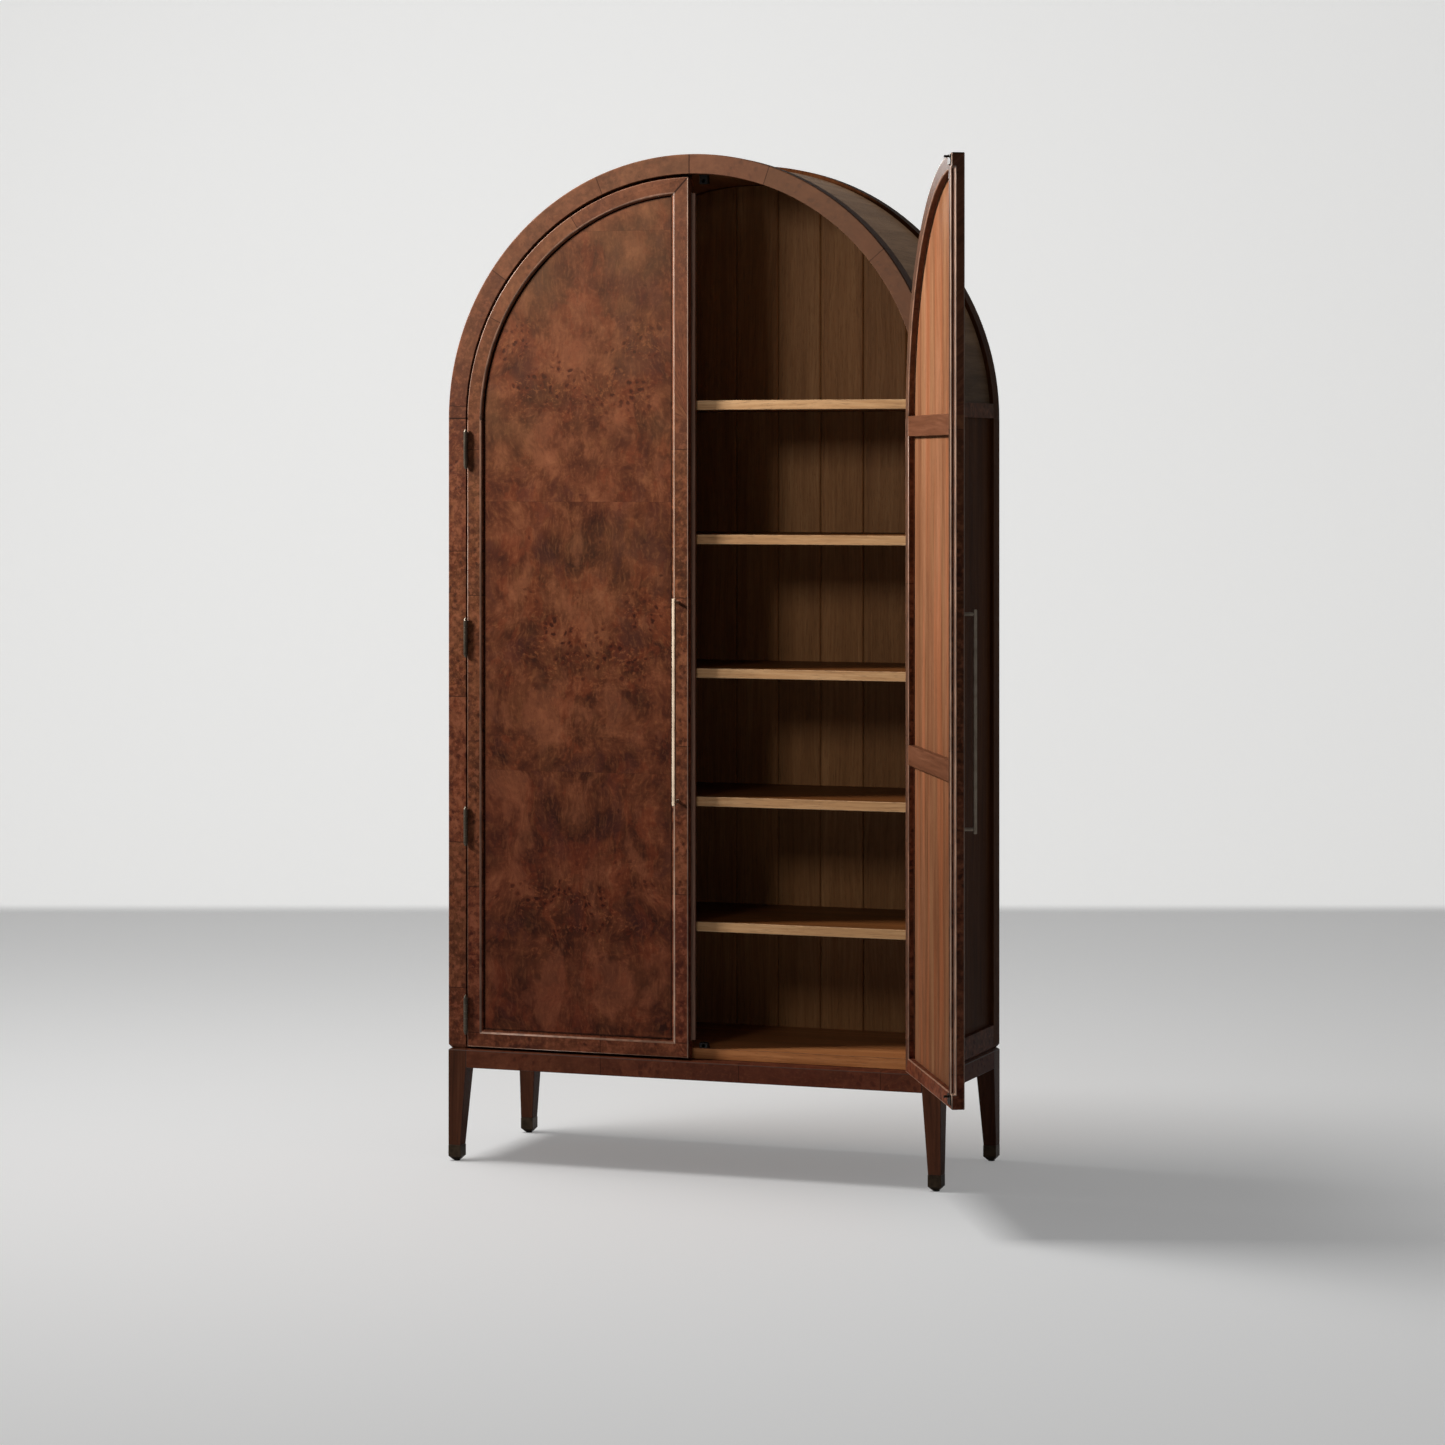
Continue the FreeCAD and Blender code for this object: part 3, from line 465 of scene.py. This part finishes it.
def thin_line(shader, distance, half_width):
    """1 within half a width of where distance is zero."""
    return shader.step(shader.math("ABSOLUTE", distance), half_width, half_width * 0.5)


def mitre_line(shader, x, z):
    """1 along the mitre at the top of a door's meeting stile."""
    s = shader
    beyond = s.math("SUBTRACT", s.math("ABSOLUTE", x), opening_inner_x)
    rise = s.math("SUBTRACT", z, mitre_z)
    apart = s.math("MULTIPLY_ADD", beyond, mitre_slope, rise)
    return s.math("MULTIPLY", thin_line(s, apart, mitre_half_width), s.math("LESS_THAN", beyond, 0.0))


def case_line(shader, x, z):
    """1 along the joints of the case front: between stile and arch, and at the crown."""
    s = shader
    spring = thin_line(s, s.math("SUBTRACT", z, case_spring_z), spring_half_width)
    crown = s.math("MULTIPLY", thin_line(s, x, crown_half_width), 0.8)
    return s.math("MAXIMUM", spring, crown)


def frame_lip_shadow(shader, x, across, y):
    """1 on the inner edge of a door's frame behind the panel: a painted shadow of the panel."""
    s = shader
    from_arch = s.math("ABSOLUTE", s.math("SUBTRACT", across, opening_radius))
    from_stile = s.math("ABSOLUTE", s.math("SUBTRACT", s.math("ABSOLUTE", x), opening_inner_x))
    near = s.step(s.math("MINIMUM", from_arch, from_stile), lip_shadow_width, lip_shadow_width / 2)
    return s.math("MULTIPLY", near, s.math("GREATER_THAN", y, panel_high.y))


def path_material(name, spring_z, radius, seed, is_case):
    """Burl that runs up a stile and on round the arch."""
    s = Shader(name)
    x, y, z = s.split(s.place)
    rise = s.math("SUBTRACT", z, spring_z)
    above = s.math("MAXIMUM", rise, 0.0)
    from_centre = s.vector("LENGTH", s.join(x, 0.0, above))
    angle = s.math("ARCTAN2", above, s.math("ABSOLUTE", x))
    along = s.math("MULTIPLY_ADD", angle, radius, s.math("MINIMUM", rise, 0.0))
    side = s.math("SIGN", x)
    across = s.math("MULTIPLY_ADD", y, 0.9, s.math("MULTIPLY", from_centre, side))
    along = s.math("MULTIPLY_ADD", side, side_shift, along)
    # painted sheen: the haze on the frames grows towards the top
    haze_and_sheen = s.step(z, 1.10, 1.90, start=0.04, end=0.30)
    eyes = s.step(z, 1.75, 1.20)
    if is_case:
        # painted sheen on the case, growing towards the right
        haze_and_sheen = s.math("ADD", haze_and_sheen, s.step(x, -0.30, 0.35, end=0.40))
        return strip_burl(s, across, along, seed, tone_shift=0.04, eyes=eyes, haze_and_sheen=haze_and_sheen,
                          haze_and_sheen_color=CASE_HAZE_AND_SHEEN, joint_and_shadow_lines=case_line(s, x, z))
    # the mitre joint and the painted shadow of the panel on the frame's inner edge
    joint_and_shadow_lines = s.math("MAXIMUM", mitre_line(s, x, z), frame_lip_shadow(s, x, from_centre, y))
    back = s.step(y, door_high.y - rear_face_depth, door_high.y - rear_face_depth / 3)
    return strip_burl(s, across, along, seed, tone_shift=0.01, eyes=eyes, haze_and_sheen=haze_and_sheen, joint_and_shadow_lines=joint_and_shadow_lines, back=back)


def bar_material(name, along_axis, seed, tone_shift=0.0, haze_and_sheen=0.15, haze_and_sheen_color=STRIP_HAZE_AND_SHEEN):
    """Burl along a straight member."""
    s = Shader(name)
    axes = dict(zip("xyz", s.split(s.place)))
    along = axes.pop(along_axis)
    first, second = axes.values()
    across = s.math("MULTIPLY_ADD", first, 0.9, second)
    return strip_burl(s, across, along, seed, tone_shift=tone_shift, haze_and_sheen=haze_and_sheen, haze_and_sheen_color=haze_and_sheen_color)


# Plain woods

INSIDE_TONES = ((0.30, (86, 51, 31)), (0.50, (111, 73, 49)), (0.70, (139, 98, 73)))
SIDE_TONES = ((0.30, (56, 30, 15)), (0.50, (74, 42, 22)), (0.70, (92, 56, 32)))
STAND_TONES = ((0.30, (56, 31, 20)), (0.50, (72, 41, 27)), (0.70, (88, 53, 36)))
BOARD_TONES = ((0.30, (128, 88, 54)), (0.50, (150, 107, 68)), (0.70, (170, 126, 84)))
LINING_TONES = ((0.30, (104, 68, 42)), (0.50, (126, 85, 54)), (0.70, (146, 102, 68)))
SHELF_TONES = ((0.30, (130, 97, 66)), (0.50, (158, 123, 87)), (0.70, (180, 147, 110)))
# darker tones for the shelves' tops and undersides: a painted shade
SHELF_SHADE_TONES = ((0.30, (76, 44, 22)), (0.50, (98, 60, 30)), (0.70, (120, 78, 42)))
SKIN_TONES = ((0.30, (66, 49, 35)), (0.50, (84, 64, 47)), (0.70, (102, 80, 60)))
DECK_TONES = ((0.30, (120, 74, 42)), (0.50, (146, 94, 56)), (0.70, (168, 114, 72)))
RAIL_TONES = ((0.30, (70, 42, 28)), (0.50, (90, 56, 39)), (0.70, (110, 72, 53)))
ASTRAGAL_TONES = ((0.30, (88, 66, 54)), (0.50, (110, 85, 72)), (0.70, (132, 104, 90)))


def wood_material(name, along_axis, tones, seed, roughness=0.40, boards=None, shine=lacquer_shine):
    """Lacquered straight-grained wood along one axis.

    Boards give the place of a joint and the pitch: the figure changes from board to board."""
    s = Shader(name)
    axes = dict(zip("xyz", s.split(s.place)))
    along = axes.pop(along_axis)
    first, second = axes.values()
    place = s.join(along, s.math("ADD", first, seed), s.math("ADD", second, seed))
    if boards:
        start, pitch = boards
        board = s.math("FLOOR", s.math("DIVIDE", s.math("SUBTRACT", first, start), pitch))
        key = s.key(board)
        place = s.vector("ADD", place, s.vector("SCALE", key["Color"], 5.0))
    color, height = plain_figure(s, place, tones)
    if boards:
        darker = tuple(0.7 * value for value in tones[0][1])
        color = s.mix(s.math("MULTIPLY", key["Value"], 0.30), color, darker)
    return s.finish(color=color, roughness=roughness, height=height, Specular_IOR_Level=shine)


def shelf_shade_material(name, tones, front_tones, front, front_strip_depth, seed):
    """Shelf board: a paler front strip, with the top and underside painted darker as shade."""
    s = Shader(name)
    x, y, z = s.split(s.place)
    board_place = s.join(x, s.math("ADD", y, seed), s.math("ADD", z, seed))
    front_strip_place = s.join(x, s.math("ADD", y, seed + 3.0), s.math("ADD", z, seed))
    board, board_height = plain_figure(s, board_place, tones)
    front_strip, front_strip_height = plain_figure(s, front_strip_place, front_tones)
    # behind the front strip the board is painted darker, as shade
    is_board = s.math("GREATER_THAN", y, front + front_strip_depth)
    color = s.mix(is_board, front_strip, board)
    height = s.math("MULTIPLY_ADD", is_board, s.math("SUBTRACT", board_height, front_strip_height), front_strip_height)
    return s.finish(color=color, roughness=0.44, height=height, Specular_IOR_Level=lacquer_shine)


# Metals and plastics

def metal_material(name, color, dark, roughness, brushed=False, metallic=1.0):
    """Metal, where asked brushed from top to bottom. Less metallic is a lacquered or oxidised one."""
    s = Shader(name)
    stretch = (900.0, 900.0, 4.0) if brushed else (160.0, 160.0, 160.0)
    scratch = s.noise(s.vector("MULTIPLY", s.place, stretch), 1.0, detail=2.0)["Fac"]
    age = s.noise(s.place, 45.0, detail=3.0, roughness=0.6)["Fac"]
    shade = s.mix(s.step(age, 0.40, 0.68), color, dark)
    return s.finish(color=shade, roughness=s.math("MULTIPLY_ADD", scratch, 0.16, roughness - 0.08),
                    height=scratch, depth=0.00005, Metallic=metallic)


def edge_material(name, color, shine=1.0):
    """Polished arris or moulding in a given tone. Some of these tones are painted highlight, others painted
    shade.
    """
    s = Shader(name)
    tone = s.noise(s.vector("MULTIPLY", s.place, (1.0, 1.0, 0.3)), 60.0, detail=3.0)["Fac"]
    darker = tuple(0.8 * value for value in color)
    shade = s.mix(s.step(tone, 0.38, 0.62), darker, color)
    roughness = s.math("MULTIPLY_ADD", tone, 0.1, 0.36)
    return s.finish(color=shade, roughness=roughness, Specular_IOR_Level=shine)


def plastic_material(name, color, roughness):
    s = Shader(name)
    texture = s.noise(s.place, 900.0, detail=2.0)["Fac"]
    lighter = tuple(min(255, value * 1.3 + 4) for value in color)
    shade = s.mix(s.step(texture, 0.35, 0.70), color, lighter)
    return s.finish(color=shade, roughness=roughness, height=texture, depth=0.00008)


# Materials in use. Each seed moves a piece to its own stretch of the figure.

case_frame_burl = path_material("case_frame_burl", case_spring_z, case_radius, seed=0.11, is_case=True)
door_frame_burl = path_material("door_frame_burl", door_spring_z, case_radius, seed=4.23, is_case=False)
bottom_rail_burl = bar_material("bottom_rail_burl", "x", seed=2.37, haze_and_sheen=0.20, haze_and_sheen_color=DARK_VEIL)
apron_burl = bar_material("apron_burl", "x", seed=6.71, tone_shift=-0.06, haze_and_sheen=0.50, haze_and_sheen_color=DARK_VEIL)
side_apron_burl = bar_material("side_apron_burl", "y", seed=5.13, tone_shift=-0.10, haze_and_sheen=0.50,
                               haze_and_sheen_color=DARK_VEIL)
side_rail_burl = bar_material("side_rail_burl", "y", seed=3.77, tone_shift=-0.08)
left_panel_burl = panel_material("left_panel_burl", panel_centre_x, seed=1.9)
right_panel_burl = panel_material("right_panel_burl", -panel_centre_x, seed=3.3)

rear_frame_wood = wood_material("rear_frame_wood", "z", SIDE_TONES, seed=0.7, shine=0.01)
side_panel_wood = wood_material("side_panel_wood", "z", SIDE_TONES, seed=1.3, shine=0.01)
skin_wood = wood_material("skin_wood", "y", SKIN_TONES, seed=2.1, shine=0.02)
leg_wood = wood_material("leg_wood", "z", STAND_TONES, seed=0.4)
block_wood = wood_material("block_wood", "z", SHELF_TONES, seed=1.1, roughness=0.6)
lining_wood = wood_material("lining_wood", "z", LINING_TONES, seed=2.6)
arch_lining_wood = wood_material("arch_lining_wood", "y", LINING_TONES, seed=0.9)
board_joint_x = 0.053
board_pitch = 0.0974
board_wood = wood_material("board_wood", "z", BOARD_TONES, seed=0.2, roughness=0.42,
                           boards=(board_joint_x, board_pitch))
shelf_front_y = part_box("shelf_1")[0].y
front_strip_depth = 0.006
shelf_wood = shelf_shade_material("shelf_wood", SHELF_SHADE_TONES, SHELF_TONES, shelf_front_y, front_strip_depth, seed=1.7)
deck_wood = wood_material("deck_wood", "x", DECK_TONES, seed=2.9)
cross_rail_wood = wood_material("cross_rail_wood", "x", RAIL_TONES, seed=0.6)
astragal_wood = wood_material("astragal_wood", "z", ASTRAGAL_TONES, seed=3.4)

# paler than the frames: wear on the arrises and a painted highlight
burl_edge_highlight = edge_material("burl_edge_highlight", (142, 106, 87), shine=0.3)
# painted shade on the mouldings of the hinge stiles and arch rails
moulding_shade = edge_material("moulding_shade", (74, 40, 27), shine=0.1)
# painted highlight on the meeting stiles' edges and mouldings
moulding_highlight = edge_material("moulding_highlight", (150, 122, 104), shine=0.6)
dark_edge = edge_material("dark_edge", (66, 36, 22), shine=0.3)
pale_edge = edge_material("pale_edge", (166, 133, 98), shine=0.3)
deck_edge = edge_material("deck_edge", (110, 68, 38), shine=0.2)

hinge_metal = metal_material("hinge_metal", (88, 80, 68), (66, 60, 51), 0.30, metallic=0.5)
pull_metal = metal_material("pull_metal", (168, 154, 138), (150, 136, 121), 0.65, brushed=True)
foot_metal = metal_material("foot_metal", (72, 60, 48), (52, 43, 35), 0.36)
screw_metal = metal_material("screw_metal", (110, 104, 96), (80, 74, 68), 0.32)
strike_metal = metal_material("strike_metal", (50, 44, 38), (36, 32, 28), 0.50)
support_metal = metal_material("support_metal", (170, 165, 155), (140, 134, 124), 0.28)
catch_plastic = plastic_material("catch_plastic", (17, 12, 9), 0.55)
glide_plastic = plastic_material("glide_plastic", (20, 20, 20), 0.6)


# Pieces: the parts of the frame with softened edges and their finishes

weld_distance = 1e-5
flat_angle = radians(0.4)
sharp_angle = radians(28)
places_per_metre = 20000
lip_tolerance = 0.0003
slope_tolerance = 0.02
fill_share = 0.40
flush_bevel_share = 0.25
door_edge = 0.0022


def solid(name):
    """A CAD node's faces, joined up, in the places of the closed door."""
    mesh = nodes[name].data.copy()
    if nodes[name]["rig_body"] == "right_door":
        mesh.transform(right_door_turn.inverted())
    work = bmesh.new()
    work.from_mesh(mesh)
    bmesh.ops.remove_doubles(work, verts=work.verts, dist=weld_distance)
    bmesh.ops.dissolve_limit(work, angle_limit=flat_angle, verts=work.verts, edges=work.edges)
    bmesh.ops.recalc_face_normals(work, faces=work.faces)
    return work, mesh


def is_sharp(edge):
    return edge.is_manifold and edge.calc_face_angle(0.0) > sharp_angle


def place_key(edge):
    """Middle of an edge, to a twentieth of a millimetre."""
    middle = (edge.verts[0].co + edge.verts[1].co) / 2
    return tuple(round(value * places_per_metre) for value in middle)


def butted_edges(names):
    """Places of the sharp edges that lie on a neighbour's, where two members meet flush."""
    count = {}
    for name in names:
        work, mesh = solid(name)
        for key in {place_key(edge) for edge in work.edges if is_sharp(edge)}:
            count[key] = count.get(key, 0) + 1
        work.free()
        bpy.data.meshes.remove(mesh)
    return {key for key, times in count.items() if times > 1}


def on_panel_face(edge):
    """The moulding's inner lip, which rests on the panel."""
    return all(abs(vertex.co.y - panel_low.y) < lip_tolerance for vertex in edge.verts)


def strip_width(face):
    return face.calc_area() / max(edge.calc_length() for edge in face.edges)


def set_bevels(work, width, butted, butted_share):
    """Bevel weight of each sharp edge: narrow faces get a narrow bevel, flush joints next to none."""
    weights = work.edges.layers.float.new("bevel_weight_edge")
    for edge in work.edges:
        if not is_sharp(edge) or on_panel_face(edge):
            continue
        room = min(strip_width(face) for face in edge.link_faces) * fill_share
        weight = min(1.0, room / width)
        if place_key(edge) in butted:
            weight = min(weight, butted_share)
        edge[weights] = weight


def dress(name, material, edge, edge_finish=None, moulding=None):
    """A finished copy of a CAD node, with its edges softened, that stands for the node."""
    body = nodes[name]["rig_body"]
    work, mesh = solid(name)
    for face in work.faces:
        face.smooth = True
        if moulding and abs(face.normal.y - moulding_slope) < slope_tolerance:
            face.material_index = 2
    set_bevels(work, edge, butted_places, flush_bevel_share if name in case_front else 0.0)
    work.to_mesh(mesh)
    work.free()
    mesh.materials.clear()
    mesh.materials.append(material)
    for finish in (edge_finish, moulding):
        if finish:
            mesh.materials.append(finish)
    piece = bpy.data.objects.new(name + ".finished", mesh)
    scene.collection.objects.link(piece)
    bevel = piece.modifiers.new("edges", "BEVEL")
    bevel.width = edge
    bevel.segments = 3
    bevel.limit_method = "WEIGHT"
    bevel.use_clamp_overlap = False
    if edge_finish:
        bevel.material = 1
    normals = piece.modifiers.new("normals", "WEIGHTED_NORMAL")
    normals.keep_sharp = True
    normals.weight = 50
    bpy.context.view_layer.update()
    evaluated = piece.evaluated_get(bpy.context.evaluated_depsgraph_get())
    finished = bpy.data.meshes.new_from_object(evaluated)
    piece.modifiers.clear()
    piece.data = finished
    piece.matrix_world = right_door_turn if body == "right_door" else Matrix.Identity(4)
    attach(piece, body)
    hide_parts(name)
    return piece


def doors(*names):
    return [side + "_door_" + name for side in ("left", "right") for name in names]


shelves = ["shelf_%d" % number for number in range(1, 6)]
case_front = ["front_stile_left", "front_stile_right", "front_arch_left", "front_arch_right"]
butted_places = butted_edges(case_front)
for side in ("left_door_", "right_door_"):
    members = ("hinge_stile", "meeting_stile", "arch_rail", "bottom_rail")
    butted_places |= butted_edges([side + member for member in members])

# Nodes, material, width of the softened edges and, where they differ, the finish of edges and moulding; on
# the door frames these finishes carry painted highlight and painted shade
finishes = [
    (case_front, case_frame_burl, 0.0010),
    (doors("hinge_stile", "arch_rail"), door_frame_burl, door_edge, burl_edge_highlight, moulding_shade),
    (doors("meeting_stile"), door_frame_burl, door_edge, moulding_highlight, moulding_highlight),
    (doors("bottom_rail"), bottom_rail_burl, door_edge, burl_edge_highlight, burl_edge_highlight),
    (doors("cross_rails"), cross_rail_wood, 0.0008),
    (["left_door_panel"], left_panel_burl, 0.0003),
    (["right_door_panel"], right_panel_burl, 0.0003),
    (["left_door_astragal"], astragal_wood, 0.0008),
    (["rear_stile_left", "rear_stile_right", "rear_arch"], rear_frame_wood, 0.0007),
    (["side_rails_left", "side_rails_right"], side_rail_burl, 0.0007),
    (["side_panel_left", "side_panel_right"], side_panel_wood, 0.0005),
    (["arch_skin"], skin_wood, 0.0005),
    (["side_lining_left", "side_lining_right"], lining_wood, 0.0005),
    (["arch_lining"], arch_lining_wood, 0.0005),
    (["deck"], deck_wood, 0.0010, deck_edge),
    (["back_boards"], board_wood, 0.0004),
    (shelves, shelf_wood, 0.0012, pale_edge),
    (["apron_front", "apron_rear"], apron_burl, 0.0010, dark_edge),
    (["side_aprons"], side_apron_burl, 0.0010, dark_edge),
    (["leg_front_left", "leg_front_right", "leg_rear_left", "leg_rear_right"], leg_wood, 0.0012, dark_edge),
    (["corner_blocks"], block_wood, 0.0010),
    (["foot_caps"], foot_metal, 0.0006),
    (["glides"], glide_plastic, 0.0004),
    (["case_hinge_leaves", "hinge_pins"] + doors("hinge_leaves"), hinge_metal, 0.00025),
    (doors("pull"), pull_metal, 0.0004),
    (doors("strikes"), strike_metal, 0.0003),
    (["shelf_supports"], support_metal, 0.0003),
    (["catches"], catch_plastic, 0.0005),
    (["case_hinge_screws", "stand_screws"] + doors("hinge_screws"), screw_metal, 0.0002),
]
pieces = {}
for names, material, edge, *edge_finishes in finishes:
    for name in names:
        pieces[name] = dress(name, material, edge, *edge_finishes)


# Camera, fitted to the photo's corners

camera_data = bpy.data.cameras.new("camera")
camera = bpy.data.objects.new("camera", camera_data)
scene.collection.objects.link(camera)
camera_turn = 0.3567
camera.location = (3.0670, -8.2408, 1.4871)
camera.rotation_euler = Euler((radians(90), 0, camera_turn))
camera_data.sensor_width = 36
camera_data.lens = 102.6
camera_data.shift_y = -0.179
scene.camera = camera


# Floor and backdrop: one pale sweep behind the object, square to the camera

floor_start = -6.0
bend_steps = 12
bend_radius = 0.03
PAPER_COLOR = (222, 222, 221)
FLOOR_GLOW = (126, 126, 126)
WALL_GLOW = (188, 188, 187)
mirrored_glow_share = 0.15


def sweep(distance, width, height, radius):
    """Floor that curves up into a wall, at a distance from the camera along its view."""
    view = Matrix.Rotation(camera_turn, 4, "Z")
    outline = [(floor_start, 0.0), (distance - radius, 0.0)]
    for i in range(1, bend_steps + 1):
        turn = Matrix.Rotation(pi / 2 * i / bend_steps, 2)
        down = turn @ Vector((0, -radius))
        outline.append((distance - radius + down.x, radius + down.y))
    outline.append((distance, height))
    mesh = bpy.data.meshes.new("sweep")
    points = []
    for along, up in outline:
        for across in (-width / 2, width / 2):
            place = view @ Vector((across, along, 0))
            points.append((place.x + camera.location.x, place.y + camera.location.y, up))
    faces = [(2 * i, 2 * i + 1, 2 * i + 3, 2 * i + 2) for i in range(len(outline) - 1)]
    mesh.from_pydata(points, [], faces)
    for face in mesh.polygons:
        face.use_smooth = True
    stage = bpy.data.objects.new("sweep", mesh)
    scene.collection.objects.link(stage)
    return stage


def sweep_material():
    """Matt paper seen only from its front. To the camera it glows a little, so that lamps can stay low."""
    s = Shader("backdrop")
    wall = s.step(s.split(s.place)[2], 0.0, bend_radius)
    s.finish(color=PAPER_COLOR, roughness=0.9, Specular_IOR_Level=0.0)
    path = s.add("ShaderNodeLightPath").outputs
    mirrored = s.math("MAXIMUM", path["Is Glossy Ray"], path["Is Transmission Ray"])
    seen = s.math("MAXIMUM", path["Is Camera Ray"], s.math("MULTIPLY", mirrored, mirrored_glow_share))
    shade = s.mix(wall, FLOOR_GLOW, WALL_GLOW)
    glow = s.add("ShaderNodeEmission", {"Color": shade, "Strength": seen})
    lit = s.add("ShaderNodeAddShader", {0: s.surface.outputs[0], 1: glow.outputs[0]})
    clear = s.add("ShaderNodeBsdfTransparent")
    behind = s.add("ShaderNodeNewGeometry").outputs["Backfacing"]
    sided = s.add("ShaderNodeMixShader", {0: behind, 1: lit.outputs[0], 2: clear.outputs[0]})
    s.feed(s.tree.nodes["Material Output"].inputs["Surface"], sided.outputs[0])
    return s.material


stage = sweep(distance=13.67, width=40.0, height=14.0, radius=bend_radius)
stage.data.materials.append(sweep_material())


# Light: a small key from the left, a weak lamp from the front for the inside, one from behind, one for the
# stage, one for the bent top and one beside the key for the pulls

WARM_WHITE = (255, 248, 240)
WORLD_COLOR = (245, 246, 248)
world_strength = 0.16
key_place = (-4.11, -2.03, 3.6)
key_size = (0.95, 0.95)
key_spread = 82


def lamp(name, place, target, size, energy, spread=180, color=(255, 255, 255)):
    data = bpy.data.lights.new(name, "AREA")
    data.shape = "RECTANGLE"
    data.size, data.size_y = size
    data.energy = energy
    data.spread = radians(spread)
    data.color = srgb(color)
    light = bpy.data.objects.new(name, data)
    scene.collection.objects.link(light)
    light.location = place
    light.rotation_euler = (Vector(target) - Vector(place)).to_track_quat("-Z", "Y").to_euler()
    light.visible_camera = False
    return light


def link_light(light, objects, state):
    """Make a lamp leave out these objects, or light nothing else."""
    group = bpy.data.collections.new(light.name + "_receivers")
    for index, item in enumerate(objects):
        group.objects.link(item)
        group.collection_objects[index].light_linking.link_state = state
    light.light_linking.receiver_collection = group


world = bpy.data.worlds.new("world")
scene.world = world
world.use_nodes = True
background = world.node_tree.nodes["Background"].inputs
background["Color"].default_value = screen_color(WORLD_COLOR)
background["Strength"].default_value = world_strength
key = lamp("key", key_place, target=(0.0, -0.20, 2.85), size=key_size, energy=176, spread=key_spread,
           color=WARM_WHITE)
front = lamp("front", (-0.63, -4.70, 2.75), target=(0.1, -0.20, 1.7), size=(0.85, 0.85), energy=5.3,
             spread=60, color=WARM_WHITE)
rear = lamp("rear", (-2.6, 3.6, 2.8), target=(0.0, 0.2, 1.0), size=(1.5, 1.5), energy=120)
floor_lamp = lamp("floor_lamp", (-1.7, -0.5, 5.0), target=(0.2, 0.1, 0.0), size=(1.9, 1.9), energy=150)
crown = lamp("crown", (0.3, 0.3, 4.6), target=(0.3, 0.2, 2.0), size=(0.8, 0.8), energy=85)
glint = lamp("glint", key_place, target=(0.0, -0.25, 1.0), size=key_size, energy=175, spread=key_spread,
             color=WARM_WHITE)
inside_names = ["back_boards", "side_lining_left", "side_lining_right", "arch_lining", "deck",
                "shelf_supports", "left_door_astragal"] + shelves
link_light(key, [stage], "EXCLUDE")
link_light(front, [pieces[name] for name in inside_names], "INCLUDE")
link_light(rear, [stage], "EXCLUDE")
link_light(floor_lamp, [stage], "INCLUDE")
link_light(crown, [pieces["arch_skin"]], "INCLUDE")
link_light(glint, [pieces[name] for name in doors("pull")], "INCLUDE")


scene.view_settings.view_transform = "Standard"
